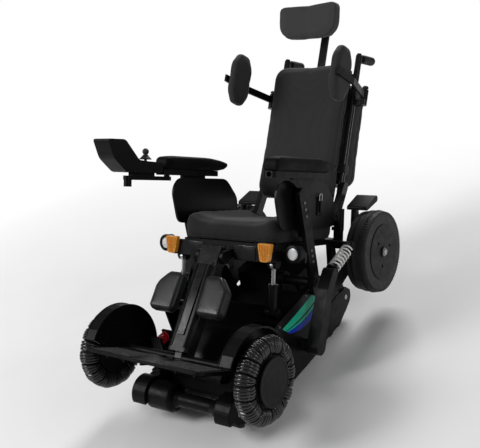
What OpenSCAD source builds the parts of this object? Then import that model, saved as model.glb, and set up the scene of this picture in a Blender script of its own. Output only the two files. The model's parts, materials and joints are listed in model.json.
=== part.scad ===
/* [Stance] */
// Place of the front axle along the chair, with the chair's middle at zero
front_axle_y = -544.8; // [-565:0.1:-525]
// Height of the front axle with the tracks on the floor
front_axle_z = 225; // [222:1:232]
// Distance from the front axle to the rear axle
wheel_base = 787; // [775:1:810]
// Height of the rear axle in stair mode
rear_axle_z = 237; // [230:1:246]
// Distance from the front axle back to the seat pivot
seat_pivot_t = 433; // [428:1:438]
// Height of the seat pivot
seat_pivot_z = 301; // [299:1:308]
// Lean of the seat unit on the level chassis, in degrees
seat_tilt = 24; // [22:0.5:25]

/* [Front wheels] */
// Distance from the tub's side to the middle of a front wheel
front_wheel_reach = 171; // [169:1:178]
// Radius of a front wheel over its rollers
front_wheel_r = 135; // [132:0.5:137]
// Largest radius of a roller
roller_r = 33; // [31:0.5:34]
// Length of a roller
roller_length = 44; // [40:1:45]
// Radius of the hub cap
hub_cap_r = 74; // [60:1:80]
// Radius of the fender over the wheel
fender_r = 154; // [150:1:158]
// Wall of the fender
fender_wall = 4; // [3:0.5:5]

/* [Rear wheels] */
// Distance from the tub's side to the outer face of a rear wheel
rear_wheel_reach = 190; // [186:1:203]
// Radius of a rear tyre
rear_wheel_r = 147; // [140:1:150]
// Width of a rear tyre
rear_tyre_w = 84; // [76:1:86]
// Radius of a rear wheel disc
rear_disc_r = 100; // [92:1:106]
// Lever width across the chair
lever_w = 42; // [36:1:46]
// Lever depth
lever_depth = 34; // [28:1:38]

/* [Tracks] */
// Distance from the tub's side to the middle of a track
track_reach = 33; // [31:0.5:34]
// Width of a belt
belt_w = 34; // [30:1:36]
// Thickness of a belt without its lugs
belt_wall = 9; // [7:0.5:10]
// Height of a lug
lug_h = 11; // [8:0.5:13]
// Radius of the drums inside the belts
drum_r = 28; // [25:0.5:30]
// Lugs on each belt
lug_count = 26; // [18:1:30]

/* [Chassis] */
// Width of the tub between the tracks
tub_w = 284; // [276:2:286]
// Height of the tub's floor
tub_floor_z = 46; // [40:1:60]
// Height of the tub's deck
tub_deck_z = 196; // [190:1:204]
// Distance from the tub's side to the outer face of a side cover
cover_reach = 92; // [91:0.5:93]
// Wall of the side covers
cover_wall = 5; // [3:0.5:6]

/* [Seat] */
// Distance from a strut's outer face in to the cushion's side
cushion_inset = 49; // [49:1:56]
// Depth of the seat cushion
cushion_d = 395; // [380:5:400]
// Thickness of the seat cushion at its edge
cushion_edge_h = 76; // [66:1:80]
// Rise of the cushion's crown
cushion_crown_h = 10; // [6:1:16]
// Distance from the tub's side to the outer face of a side strut
strut_reach = 112; // [111:1:114]
// Thickness of a side strut
strut_wall = 16; // [12:1:17]
// Breadth of a side strut
strut_w = 46; // [40:1:50]
// Radius of the seat pivot pins
pivot_pin_r = 11; // [8:0.5:12]

/* [Arm rests] */
// Distance from a strut's outer face in to the middle of an arm pad
arm_pad_inset = 21; // [18:1:24]
// Width of an arm pad
arm_pad_w = 62; // [50:1:64]
// Length of the left arm pad
arm_pad_length = 380; // [340:5:385]
// Thickness of an arm pad
arm_pad_h = 46; // [38:1:50]
// Radius of the accessory socket in the left arm
socket_r = 8; // [6:0.5:9]
// Depth of the accessory socket
socket_depth = 40; // [25:1:60]

/* [Back and head] */
// Lean of the backrest on the seat, in degrees
back_recline = 12.7; // [8:0.1:16]
// Width of the backrest cushion
back_w = 342; // [320:2:350]
// Length of the backrest cushion
back_length = 535; // [510:1:545]
// Thickness of the backrest cushion at its edge
back_edge_h = 46; // [40:1:52]
// Rise of the backrest's crown
back_crown_h = 14; // [6:1:16]
// Width of the headrest
head_w = 258; // [230:2:270]
// Height of the headrest
head_h = 137; // [126:1:145]
// Thickness of the headrest at its edge
head_edge_h = 52; // [40:1:56]

/* [Leg rest] */
// Lean of the leg column forward of square to the seat, in degrees
leg_lean = 27; // [24:0.5:30]
// Length of the leg column
leg_length = 346; // [338:1:350]
// Width of the leg column
leg_w = 80; // [70:1:84]
// Distance from the tub's side to the footplate's side
foot_reach = 91; // [80:1:92]
// Depth of the footplate
foot_d = 178; // [160:1:184]
// Rise of the footplate toward the toes, in degrees
foot_rise = 8.5; // [5:0.5:12]

/* [Hidden] */

// Places across the chair, from the tub's side outwards
tub_in_x = tub_w / 2;
track_x = tub_in_x + track_reach;
cover_x = tub_in_x + cover_reach;
strut_x = tub_in_x + strut_reach;
front_wheel_x = tub_in_x + front_wheel_reach;
rear_wheel_out_x = tub_in_x + rear_wheel_reach;
arm_pad_x = strut_x - arm_pad_inset;
cushion_w = 2 * (strut_x - cushion_inset);
foot_w = 2 * (tub_in_x + foot_reach);

// Overrun of a cut past the faces it opens
cut = 1;
// Running clearance of pins, shafts and rollers
run_gap = 0.3;
// Clearance between pieces that move past each other
pass_gap = 4;
// Steps of a rounded corner and of a drawn arc
corner_steps = 4;
arc_steps = 14;
$fn = 48;

// Finishes
black = "#1b1c1e";
charcoal = "#2a2b2d";
fabric_grey = "#333438";
metal_grey = "#4a4b4e";
steel = "#8e9093";
tyre_grey = "#3c3d40";
amber = "#d98a2b";
lens_white = "#f2f4f5";
spring_red = "#c4192b";
spring_white = "#e8e8e6";

// Drawing helpers: a profile is drawn in the plane of the chair's side, as (back, up)
function unit(v) = v / norm(v);
function mix(a, b, f) = a + (b - a) * f;
function turned(v, a) = [v[0] * cos(a) - v[1] * sin(a), v[0] * sin(a) + v[1] * cos(a)];
function bend(a, b, c, r) = let (p = b + unit(a - b) * r, q = b + unit(c - b) * r)
    [for (i = [0:corner_steps]) let (f = i / corner_steps) mix(mix(p, b, f), mix(b, q, f), f)];
function rounded(pts, r) = let (n = len(pts))
    [for (i = [0:n - 1]) each bend(pts[(i + n - 1) % n], pts[i], pts[(i + 1) % n], r)];
function arc(c, r, a0, a1) =
    [for (i = [0:arc_steps]) c + r * [cos(mix(a0, a1, i / arc_steps)), sin(mix(a0, a1, i / arc_steps))]];
function bar(p, q, rp, rq) = let (a = atan2(q[1] - p[1], q[0] - p[0]),
    lean = acos((rp - rq) / norm(q - p)))
    concat(arc(p, rp, a + lean, a + 360 - lean), arc(q, rq, a - lean, a + lean));
function box_pts(w, h) = [[-w / 2, -h / 2], [w / 2, -h / 2], [w / 2, h / 2], [-w / 2, h / 2]];

module side(x0, x1) translate([x0, 0, 0]) rotate([90, 0, 90]) linear_extrude(x1 - x0) children();
module rod_x(x0, x1, p, r) translate([x0, p[0], p[1]]) rotate([0, 90, 0]) cylinder(h = x1 - x0, r = r);
module revolved_x(x, p) translate([x, p[0], p[1]]) rotate([0, 90, 0]) rotate_extrude() children();
module pair() {
    children();
    mirror([1, 0, 0]) children();
}
module handed(left) {
    if (left) children();
    else mirror([1, 0, 0]) children();
}
module slab(w, d, h, r) linear_extrude(h) polygon(rounded(box_pts(w, d), r));

// Frames of the chair: the chassis from the front axle, the seat from its pivot
module on_chassis() translate([0, front_axle_y, 0]) children();
module on_seat() on_chassis() translate([0, seat_pivot_t, seat_pivot_z]) rotate([-seat_tilt, 0, 0])
    children();
module on_back() on_seat() translate([0, back_hinge[0], back_hinge[1]]) rotate([-back_recline, 0, 0])
    children();
module on_leg() on_seat() translate([0, leg_hinge[0], leg_hinge[1]]) rotate([-leg_lean, 0, 0]) children();
module on_foot() on_leg() translate([0, 0, -leg_length]) rotate([leg_lean - foot_rise, 0, 0]) children();
function seat_to_chassis(p) = [seat_pivot_t, seat_pivot_z] + turned(p, -seat_tilt);

// Soft forms: a pillow of a given outline, domed on both faces and drawn in at its edges
pillow_rings = 6;
pillow_sides = 48;
pillow_square = 7;
pillow_flat = 6;
edge_share = 0.36;
full_edge_share = 0.5;
function squircle(w, d, a) = let (k = pow(pow(abs(cos(a)), pillow_square)
    + pow(abs(sin(a)), pillow_square),
    -1 / pillow_square)) [w / 2 * k * cos(a), d / 2 * k * sin(a)];
function ring_scale(i) = sin(90 * i / pillow_rings);
function pillow_face(w, d, edge, crown, up) = [for (i = [1:pillow_rings]) for (j = [0:pillow_sides - 1])
    let (s = ring_scale(i), p = squircle(w, d, 360 * j / pillow_sides) * s)
    [p[0], p[1], up * (edge * edge_share + crown * (1 - s * s)
        + edge * (full_edge_share - edge_share) * sqrt(1 - pow(s, pillow_flat)))]];
module pillow(w, d, edge, crown_top, crown_bottom) {
    top = pillow_face(w, d, edge, crown_top, 1);
    low = pillow_face(w, d, edge, crown_bottom, -1);
    n = len(top);
    last = n - pillow_sides;
    peak = edge / 2;
    points = concat(top, low, [[0, 0, peak + crown_top], [0, 0, -peak - crown_bottom]]);
    next = function (j) (j + 1) % pillow_sides;
    quads = [for (i = [0:pillow_rings - 2]) for (j = [0:pillow_sides - 1])
        [i * pillow_sides + j, (i + 1) * pillow_sides + j,
        (i + 1) * pillow_sides + next(j), i * pillow_sides + next(j)]];
    polyhedron(points = points, faces = concat(
        [for (q = quads) each [[q[0], q[2], q[1]], [q[0], q[3], q[2]]]],
        [for (q = quads) each [[n + q[0], n + q[1], n + q[2]], [n + q[0], n + q[2], n + q[3]]]],
        [for (j = [0:pillow_sides - 1]) each [[last + j, last + next(j), n + last + j],
            [last + next(j), n + last + next(j), n + last + j]]],
        [for (j = [0:pillow_sides - 1]) each [[2 * n, next(j), j], [2 * n + 1, n + j, n + next(j)]]]
    ));
}

// Coil springs: one unbroken tube with straight ends
coil_rings = 8;
coil_sides = 6;
function coil_point(r, pitch, i) = let (a = 360 * i / coil_rings)
    [r * cos(a), r * sin(a), pitch * i / coil_rings];
function coil_ring(c, ahead, wire) = let (side_way = unit([c[0], c[1], 0]),
    up_way = unit(cross(ahead, side_way)))
    [for (k = [0:coil_sides - 1]) let (a = 360 * k / coil_sides)
        c + wire * (cos(a) * side_way + sin(a) * up_way)];
function ring_gap(points, i, j) = min([for (k = [0:coil_sides - 1]) for (m = [0:coil_sides - 1])
    norm(points[i * coil_sides + k] - points[j * coil_sides + m])]);
function coil_gap(points, count) = min([for (i = [0:count - coil_rings])
    for (j = [i + coil_rings - 1:count])
    if (j < i + coil_rings + 2) ring_gap(points, i, j)]);
module coil(r, wire, length, turns) {
    pitch = (length - 2 * wire) / turns;
    count = turns * coil_rings;
    points = [for (i = [0:count]) let (a = 360 * i / coil_rings)
        each coil_ring(coil_point(r, pitch, i) + [0, 0, wire],
            unit([-r * sin(a), r * cos(a), pitch / (2 * PI)]), wire)];
    echo(str("least gap of the coil to itself, mm: ", coil_gap(points, count)));
    last = count * coil_sides;
    polyhedron(points = points, faces = concat(
        [for (i = [0:count - 1]) for (k = [0:coil_sides - 1])
            let (a = i * coil_sides, m = (k + 1) % coil_sides)
                each [[a + k, a + m, a + coil_sides + k],
                    [a + m, a + coil_sides + m, a + coil_sides + k]]],
        [for (k = [1:coil_sides - 2]) [0, k + 1, k]],
        [for (k = [1:coil_sides - 2]) [last, last + k, last + k + 1]]
    ));
}

// Tracks: the belt runs round four drums, given as (back, up) from the front axle's place on the floor
tip_r = drum_r + run_gap + belt_wall + lug_h;
drive_c = [-20, 90];
low_front_c = [56, tip_r];
low_rear_c = [610, tip_r];
idler_c = [692, 86];
track_stops = [drive_c, low_front_c, low_rear_c, idler_c];
function loop_arc(i, r) = let (c = track_stops[i], before = track_stops[(i + 3) % 4],
    after = track_stops[(i + 1) % 4], a0 = atan2(c[1] - before[1], c[0] - before[0]) - 90,
    a1 = atan2(after[1] - c[1], after[0] - c[0]) - 90)
    arc(c, r, a0, a1 < a0 ? a1 + 360 : a1);
function loop_pts(r) = [for (i = [0:3]) each loop_arc(i, r)];
function loop_length(pts, i) = i == 0 ? 0 : loop_length(pts, i - 1)
    + norm(pts[i % len(pts)] - pts[i - 1]);
function along(pts, s, i = 0) = let (p = pts[i], q = pts[(i + 1) % len(pts)], d = norm(q - p))
    s <= d || i == len(pts) - 1
    ? [p + (q - p) * min(1, s / max(d, run_gap)), atan2(q[1] - p[1], q[0] - p[0])]
    : along(pts, s - d, i + 1);
belt_in_x = track_x - belt_w / 2;
belt_out_x = track_x + belt_w / 2;
lug_length = 22;
lug_sink = 2;
plate_wall = 5;
plate_gap = 3;
axle_r = 9;
inner_plate_x = tub_w / 2;
outer_plate_x = belt_out_x + plate_gap;
rail_gap = 1;
rail_inset = 4;
plate_rim = 6;
plate_r = drum_r + plate_rim;
guard_gap = 5;
guard_r = tip_r + guard_gap;
guard_wall = 4;
guard_from = 60;
guard_to = 186;
drive_case_r = 47;
drive_case_length = 78;
drive_neck_length = 34;
cross_tube_r = 23;
cross_flare_r = 40;
cross_flare_length = 46;

module track_belts() color(charcoal) on_chassis() pair() side(belt_in_x, belt_out_x) difference() {
    mid = loop_pts(drum_r + run_gap + belt_wall);
    step = loop_length(mid, len(mid)) / lug_count;
    union() {
        polygon(mid);
        intersection() {
            polygon(loop_pts(tip_r));
            for (i = [0:lug_count - 1]) {
                spot = along(mid, i * step);
                translate(spot[0]) rotate(spot[1]) square([lug_length, 2 * lug_h + 2 * lug_sink],
                    center = true);
            }
        }
    }
    polygon(loop_pts(drum_r + run_gap));
}

module track_frames() color(metal_grey) on_chassis() difference() {
    union() {
        pair() {
            side(belt_in_x + rail_inset, belt_out_x - rail_inset) polygon(loop_pts(drum_r - rail_gap));
            for (x = [inner_plate_x, outer_plate_x]) side(x, x + plate_wall) {
                polygon(loop_pts(plate_r));
                polygon(concat(arc(drive_c, guard_r + guard_wall / 2, guard_from, guard_to), [drive_c]));
            }
            for (p = [low_front_c, mix(low_front_c, low_rear_c, 1 / 2), low_rear_c])
                rod_x(inner_plate_x + cut, outer_plate_x + plate_wall - cut, p, axle_r);
            side(inner_plate_x + cut, outer_plate_x + plate_wall - cut) polygon(concat(
                arc(drive_c, guard_r + guard_wall, guard_from, guard_to),
                arc(drive_c, guard_r, guard_to, guard_from)));
        }
        revolved_x(-inner_plate_x, drive_c) polygon(concat(
            [[0, -cut], [drive_case_r, -cut]],
            arc([drive_case_r - drive_neck_length / 2, drive_case_length], drive_neck_length / 2, 0, 90),
            [[cross_tube_r, drive_case_length + drive_neck_length],
            [cross_tube_r, 2 * inner_plate_x - cross_flare_length], [cross_flare_r, 2 * inner_plate_x],
            [cross_flare_r, 2 * inner_plate_x + cut], [0, 2 * inner_plate_x + cut]]));
    }
    for (p = [drive_c, idler_c]) {
        rod_x(-outer_plate_x - plate_wall - cut, outer_plate_x + plate_wall + cut, p, axle_r + run_gap);
        pair() rod_x(belt_in_x - cut, belt_out_x + cut, p, drum_r + pass_gap);
    }
}

sprocket_w = belt_w - 2 * plate_gap;
sprocket_slots = 9;
sprocket_slot_r = 5;
sprocket_slot_share = 0.55;
module drum(p) {
    difference() {
        rod_x(track_x - sprocket_w / 2, track_x + sprocket_w / 2, p, drum_r);
        for (i = [0:sprocket_slots - 1]) translate([0, p[0], p[1]])
            rotate([360 * i / sprocket_slots, 0, 0])
            rod_x(track_x - sprocket_w, track_x + sprocket_w,
                [0, mix(axle_r, drum_r, sprocket_slot_share)], sprocket_slot_r);
    }
}
module track_sprockets() color(steel) on_chassis() {
    pair() drum(drive_c);
    rod_x(-outer_plate_x - plate_wall, outer_plate_x + plate_wall, drive_c, axle_r);
}
module track_idlers() color(steel) on_chassis() {
    pair() drum(idler_c);
    rod_x(-outer_plate_x - plate_wall, outer_plate_x + plate_wall, idler_c, axle_r);
}

// Chassis tub, with the uprights of the seat pivot and the axle tubes of the wheel arms
tub_front_t = 66;
tub_nose_t = 128;
tub_tail_t = 660;
tub_back_t = 622;
tub_corner_r = 22;
tub_wall = 5;
upright_w = 20;
upright_foot_w = 120;
upright_head_r = 26;
front_pivot_c = [124, 172];
front_tube_r = 19;
front_pin_r = 10;
lever_c = [310, 134];
lever_pin_r = 12;
lever_tube_r = 20;
spring_leg_h = 46;
spring_leg_w = 6;
spring_shelf_z = 200;
spring_wall_t = 128;
spring_wall_d = 8;
spring_z = 216;
spring_out = 34;
spring_x = tub_in_x + spring_out;
lever_inset = 18;
lever_x = rear_wheel_out_x - lever_w - lever_inset;
lever_pin_end_x = lever_x + lever_w / 2;
front_arm_gap = 30;
front_arm_x = front_wheel_x - roller_r - front_arm_gap;
pivot_c = [seat_pivot_t, seat_pivot_z];
cyl_c = [262, 278];
cyl_out = 46;
cyl_x = tub_in_x + cyl_out;
cyl_ear_r = 13;
cyl_ear_w = 10;
cyl_pin_r = 6;
cyl_r = 15;
cyl_barrel_r = 14;
bay_from_t = 500;
bay_depth = 60;

tub_pts = rounded([[tub_front_t, tub_floor_z], [tub_back_t, tub_floor_z],
    [tub_tail_t, tub_floor_z + tub_corner_r * 2], [tub_tail_t, tub_deck_z], [tub_nose_t, tub_deck_z],
    [tub_front_t, tub_deck_z - tub_corner_r * 2]], tub_corner_r);
pivot_collar_r = 16;
hanger_x = outer_plate_x + plate_wall + cut;
hanger_wall = 4;
hanger_r = 24;

module chassis_frame() color(charcoal) on_chassis() {
    difference() {
        side(-tub_in_x, tub_in_x) polygon(tub_pts);
        translate([-tub_in_x + tub_wall * 2, bay_from_t, tub_deck_z - bay_depth])
            cube([tub_w - tub_wall * 4, tub_tail_t - bay_from_t - tub_wall * 2, bay_depth + cut]);
    }
    pair() {
        side(tub_in_x - upright_w, tub_in_x) polygon(concat(
            [[seat_pivot_t - upright_foot_w / 2, tub_deck_z - tub_wall],
            [seat_pivot_t + upright_foot_w / 2, tub_deck_z - tub_wall]],
                arc(pivot_c, upright_head_r, -10, 190)));
        rod_x(tub_in_x - upright_w, strut_x + plate_gap, pivot_c, pivot_pin_r);
        rod_x(tub_in_x - upright_w, strut_x - strut_wall - pass_gap / 2, pivot_c, pivot_collar_r);
        rod_x(tub_in_x - upright_w, front_arm_x, front_pivot_c, front_pin_r);
        rod_x(tub_in_x - upright_w, tub_in_x + pass_gap * 2, front_pivot_c, front_tube_r);
        translate([tub_in_x - tub_wall, spring_wall_t, tub_deck_z - spring_leg_h])
            cube([tub_wall + spring_leg_w, spring_wall_d, spring_shelf_z - tub_deck_z + spring_leg_h]);
        translate([tub_in_x - tub_wall, spring_wall_t, spring_shelf_z - cut])
            cube([spring_x + spring_r + spring_wire - tub_in_x + tub_wall, spring_wall_d,
                spring_z + spring_r + spring_wire - spring_shelf_z + cut]);
        difference() {
            for (x = [cyl_x - cyl_r - cyl_ear_w, cyl_x + cyl_r]) side(x, x + cyl_ear_w)
                polygon(concat([[cyl_c[0] - cyl_ear_r, tub_deck_z - tub_wall],
                    [cyl_c[0] + cyl_ear_r, tub_deck_z - tub_wall]], arc(cyl_c, cyl_ear_r, 0, 180)));
            rod_x(tub_in_x, cover_x, cyl_c, cyl_pin_r);
        }
        translate([tub_in_x - tub_wall, cyl_c[0] - cyl_ear_r * 2, tub_deck_z - tub_wall * 2])
            cube([cyl_x + cyl_r + cyl_ear_w - tub_in_x + tub_wall, cyl_ear_r * 4, tub_wall * 2]);
        rod_x(cyl_x - cyl_r - cyl_ear_w, cyl_x + cyl_r + cyl_ear_w, cyl_c, cyl_pin_r);
        side(hanger_x, hanger_x + hanger_wall)
            polygon(bar([cyl_c[0], tub_deck_z - tub_wall], lever_c, cyl_ear_r, hanger_r));
        rod_x(hanger_x, lever_pin_end_x, lever_c, lever_pin_r);
    }
}

battery_h = 70;
battery_gap = 1;
module battery_pack() color(black) on_chassis() {
    w = tub_w - tub_wall * 4 - battery_gap * 2;
    d = tub_tail_t - bay_from_t - tub_wall * 2 - battery_gap * 2;
    floor_z = tub_deck_z - bay_depth;
    translate([0, bay_from_t + battery_gap + d / 2, floor_z])
        slab(w, d, bay_depth + battery_h, tub_corner_r);
}

// Side covers: an outer wall with a deck flange that sits on the tub's ledge
cover_front_t = 203;
cover_top_front_z = 268;
cover_top_rear_z = 280;
cover_top_rear_t = 402;
cover_rear_t = 512;
cover_rear_z = 236;
cover_low_z = 42;
cover_low_front_t = 218;
cover_low_rear_t = 420;
cover_knee_t = 505;
cover_knee_z = 132;
cover_corner_r = 16;
cover_rib_h = 3;
boss_r = 27;
flange_wall = 5;
cover_pts = [[cover_front_t, cover_top_front_z], [cover_low_front_t, cover_low_z],
    [cover_low_rear_t, cover_low_z], [cover_knee_t, cover_knee_z], [cover_rear_t, cover_rear_z],
        [cover_top_rear_t, cover_top_rear_z]];
module side_covers() color(black) on_chassis() pair() {
    difference() {
        union() {
            side(cover_x - cover_wall, cover_x) polygon(rounded(cover_pts, cover_corner_r));
            rod_x(cover_x - cover_wall, cover_x + cover_rib_h, lever_c, boss_r);
        }
        rod_x(cover_x - cover_wall - cut, cover_x + cover_rib_h + cut, lever_c,
            lever_tube_r + pass_gap / 2);
    }
    side(tub_in_x, cover_x - cover_wall) polygon([
        [cover_front_t + cover_corner_r, cover_top_front_z],
        [cover_front_t + cover_corner_r, cover_top_front_z - flange_wall],
        [cyl_c[0] - cyl_ear_r * 2, cover_top_front_z - flange_wall],
            [cyl_c[0] - cyl_ear_r * 2, cover_top_front_z]]);
    side(tub_in_x, cover_x - cover_wall) polygon([
        [cyl_c[0] + cyl_ear_r * 2, cover_top_front_z],
        [cyl_c[0] + cyl_ear_r * 2, cover_top_front_z - flange_wall],
        [cover_top_rear_t, cover_top_rear_z - flange_wall * 2],
        [cover_top_rear_t, cover_top_rear_z - flange_wall]]);
}

// Front cowl: a sloping shell over the nose of the tub
cowl_low = [26, 146];
cowl_knee = [74, 206];
cowl_brow = [168, 262];
cowl_back_t = 309;
cowl_top_z = 274;
cowl_wall = 6;
cowl_corner_r = 14;
cowl_nose_share = 0.72;
cowl_outline = [cowl_low, cowl_knee, cowl_brow, [cowl_back_t, cowl_top_z], [cowl_back_t, tub_deck_z],
    [tub_nose_t, tub_deck_z], [tub_front_t, tub_deck_z - tub_corner_r * 2],
        [tub_front_t, cowl_low[1] - tub_corner_r]];
module front_cowl() color(black) on_chassis() intersection() {
    difference() {
        side(-tub_in_x, tub_in_x) polygon(rounded(cowl_outline, cowl_corner_r));
        side(-tub_in_x + cowl_wall, tub_in_x - cowl_wall) polygon([
            [cowl_knee[0] + cowl_wall, tub_deck_z + cowl_wall],
                [cowl_brow[0], cowl_brow[1] - cowl_wall * 2],
            [cowl_back_t + cut, cowl_top_z - cowl_wall], [cowl_back_t + cut, tub_deck_z + cowl_wall / 2],
            [tub_nose_t - cowl_wall * 2, tub_deck_z + cowl_wall / 2]]);
        side(-tub_w, tub_w) polygon(tub_pts);
        pair() rod_x(tub_in_x - upright_w - cut, tub_w, front_pivot_c, front_tube_r + run_gap);
    }
    linear_extrude(cowl_top_z + cut) polygon([
        [-tub_in_x * cowl_nose_share, cowl_low[0] - cut], [tub_in_x * cowl_nose_share, cowl_low[0] - cut],
        [tub_in_x, cowl_brow[0]], [tub_in_x, cowl_back_t + cut],
        [-tub_in_x, cowl_back_t + cut], [-tub_in_x, cowl_brow[0]]]);
}

// Tilt struts: cylinders hinged on the tub's ledge, rods up to the front beam
rod_top_s = [-148, 62];
rod_top_c = seat_to_chassis(rod_top_s);
cyl_length = 92;
cyl_cap_r = 17;
cyl_cap_h = 10;
tilt_rod_r = 7;
tilt_eye_r = 15;
tilt_eye_bore_r = 10;
tilt_pin_r = 6;
tilt_lean = atan2(rod_top_c[0] - cyl_c[0], rod_top_c[1] - cyl_c[1]);
tilt_length = norm(rod_top_c - cyl_c);
tilt_fork_gap = 2;
module on_strut() on_chassis() translate([cyl_x, cyl_c[0], cyl_c[1]]) rotate([-tilt_lean, 0, 0])
    children();
module tilt_cylinders() color(black) pair() on_strut() difference() {
    union() {
        cylinder(h = cyl_length, r = cyl_barrel_r);
        translate([0, 0, cyl_length - cyl_cap_h]) cylinder(h = cyl_cap_h, r = cyl_cap_r);
        rotate([0, 90, 0]) translate([0, 0, -cyl_r + run_gap])
            cylinder(h = 2 * (cyl_r - run_gap), r = cyl_ear_r);
    }
    rotate([0, 90, 0]) translate([0, 0, -cyl_r - cut]) cylinder(h = 2 * (cyl_r + cut),
        r = cyl_pin_r + run_gap);
    translate([0, 0, cyl_ear_r + plate_gap]) cylinder(h = cyl_length, r = tilt_rod_r + run_gap);
}
tilt_rod_foot = 34;
module tilt_rods() color(steel) pair() on_strut() difference() {
    union() {
        translate([0, 0, tilt_rod_foot]) cylinder(h = tilt_length - tilt_rod_foot, r = tilt_rod_r);
        translate([-cyl_ear_w / 2, 0, tilt_length]) rotate([0, 90, 0])
            cylinder(h = cyl_ear_w, r = tilt_eye_r);
    }
    translate([-cyl_ear_w, 0, tilt_length]) rotate([0, 90, 0])
        cylinder(h = 2 * cyl_ear_w, r = tilt_eye_bore_r);
}

// Front wheels: an omnidirectional wheel of barrel rollers on a swing arm with a coil spring
roller_axis_r = front_wheel_r - roller_r;
roller_count = 10;
roller_pin_r = 6;
roller_end_r = 28;
roller_nose_r = 22;
roller_nose = 3;
rib_groove = 1.6;
rib_count = 4;
ring_r = 25;
ring_inset = 2;
ring_axis_r = roller_axis_r - ring_inset;
pocket_gap = 1.2;
hub_core_r = 82;
hub_core_w = 44;
hub_cap_h = 5;
hub_dome_w = 34;
front_axle_r = 10;
front_axle_c = [0, front_axle_z];
arm_wall = 12;
arm_axle_boss_r = 38;
arm_pivot_boss_r = 24;
arm_boss_end_x = tub_in_x + pass_gap * 2 + run_gap;
ear_t = 74;
ear_d = 8;
ear_r = 22;
spring_r = 15;
spring_wire = 3.2;
spring_turns = 5;
spring_gap = 0.3;
arm_case_r = 40;
arm_case_h = 4;
fender_w = 42;
fender_front_a = 134;
fender_rear_a = -34;
fender_rib_r = 96;
fender_rib_w = 14;
fender_rib_h = 6;
fender_plate_wall = 5;

function roller_profile() = let (half = roller_length / 2,
    step = (roller_length - 2 * roller_nose) / rib_count) concat(
    [[roller_pin_r + run_gap, -half], [roller_nose_r, -half]],
    [for (i = [0:rib_count - 1]) let (s0 = -half + roller_nose + i * step, s1 = s0 + step) each [
        [roller_at(s0) - rib_groove, s0], [roller_at(s0 + step / 4), s0 + step / 4],
        [roller_at(s1 - step / 4), s1 - step / 4], [roller_at(s1) - rib_groove, s1 - run_gap]]],
    [[roller_nose_r, half], [roller_pin_r + run_gap, half]]);
function roller_at(s) = roller_r - (roller_r - roller_end_r) * pow(2 * s / roller_length, 2);

module at_front_wheel() on_chassis() translate([front_wheel_x, 0, front_axle_z]) children();
module at_rollers() for (i = [0:roller_count - 1]) rotate([360 * i / roller_count, 0, 0])
    translate([0, 0, roller_axis_r]) rotate([90, 0, 0]) children();
module front_rollers(left) color(tyre_grey) handed(left) at_front_wheel() at_rollers()
    rotate_extrude() polygon(roller_profile());
module front_hub(left) color(metal_grey) handed(left) at_front_wheel() {
    difference() {
        union() {
            rotate([0, 90, 0]) rotate_extrude() translate([ring_axis_r, 0]) circle(r = ring_r);
            rod_x(-hub_core_w / 2, hub_core_w / 2, [0, 0], hub_core_r);
        }
        at_rollers() cylinder(h = roller_length + 2 * pocket_gap, r = roller_r + pocket_gap,
            center = true);
        rod_x(-hub_core_w, hub_core_w, [0, 0], front_axle_r + run_gap);
    }
    at_rollers() cylinder(h = roller_length + 2 * pocket_gap + ring_r / 2, r = roller_pin_r,
        center = true);
    rod_x(front_axle_r + run_gap, hub_dome_w - hub_cap_h, [0, 0], hub_core_r / 2);
    rod_x(hub_dome_w - hub_cap_h, hub_dome_w, [0, 0], hub_cap_r);
}
module front_arm(left) color(charcoal) handed(left) on_chassis() {
    difference() {
        union() {
            side(front_arm_x - arm_wall, front_arm_x)
                polygon(bar(front_axle_c, front_pivot_c, arm_axle_boss_r, arm_pivot_boss_r));
            rod_x(arm_boss_end_x, front_arm_x, front_pivot_c, arm_pivot_boss_r);
            side(spring_x - ear_r, spring_x + ear_r) polygon([
                [ear_t, spring_z + ear_r], [ear_t + ear_d, spring_z + ear_r],
                    [ear_t + ear_d, spring_z - ear_r],
                front_pivot_c + [0, arm_pivot_boss_r / 2], front_pivot_c - [arm_pivot_boss_r / 2, 0],
                [ear_t, spring_z - ear_r]]);
            rod_x(front_arm_x - arm_wall - arm_case_h, front_arm_x - arm_wall + cut, front_axle_c,
                arm_case_r);
        }
        rod_x(tub_in_x, front_arm_x + cut, front_pivot_c, front_pin_r + run_gap);
    }
    rod_x(front_arm_x - arm_wall, front_wheel_x + front_axle_r, front_axle_c, front_axle_r);
}
module front_fender(left) color(black) handed(left) on_chassis() {
    plate_x = front_arm_x;
    side(plate_x + fender_plate_wall, plate_x + fender_w) polygon(concat(
        arc(front_axle_c, fender_r, fender_rear_a, fender_front_a),
        arc(front_axle_c, fender_r - fender_wall, fender_front_a, fender_rear_a)));
    difference() {
        side(plate_x, plate_x + fender_plate_wall) polygon(concat(
            arc(front_axle_c, fender_r, fender_rear_a, fender_front_a), [front_axle_c]));
        rod_x(plate_x - cut, plate_x + fender_plate_wall + cut, front_axle_c, front_axle_r + run_gap);
    }
    side(plate_x - fender_rib_h, plate_x + cut) polygon(concat(
        arc(front_axle_c, fender_rib_r + fender_rib_w, fender_rear_a + 90, fender_front_a),
        arc(front_axle_c, fender_rib_r, fender_front_a, fender_rear_a + 90)));
}
module front_spring(left) color(spring_red) handed(left) on_chassis()
    translate([spring_x, ear_t + ear_d + spring_gap, spring_z]) rotate([-90, 0, 0])
        coil(spring_r, spring_wire, spring_wall_t - ear_t - ear_d - 2 * spring_gap, spring_turns);

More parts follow.
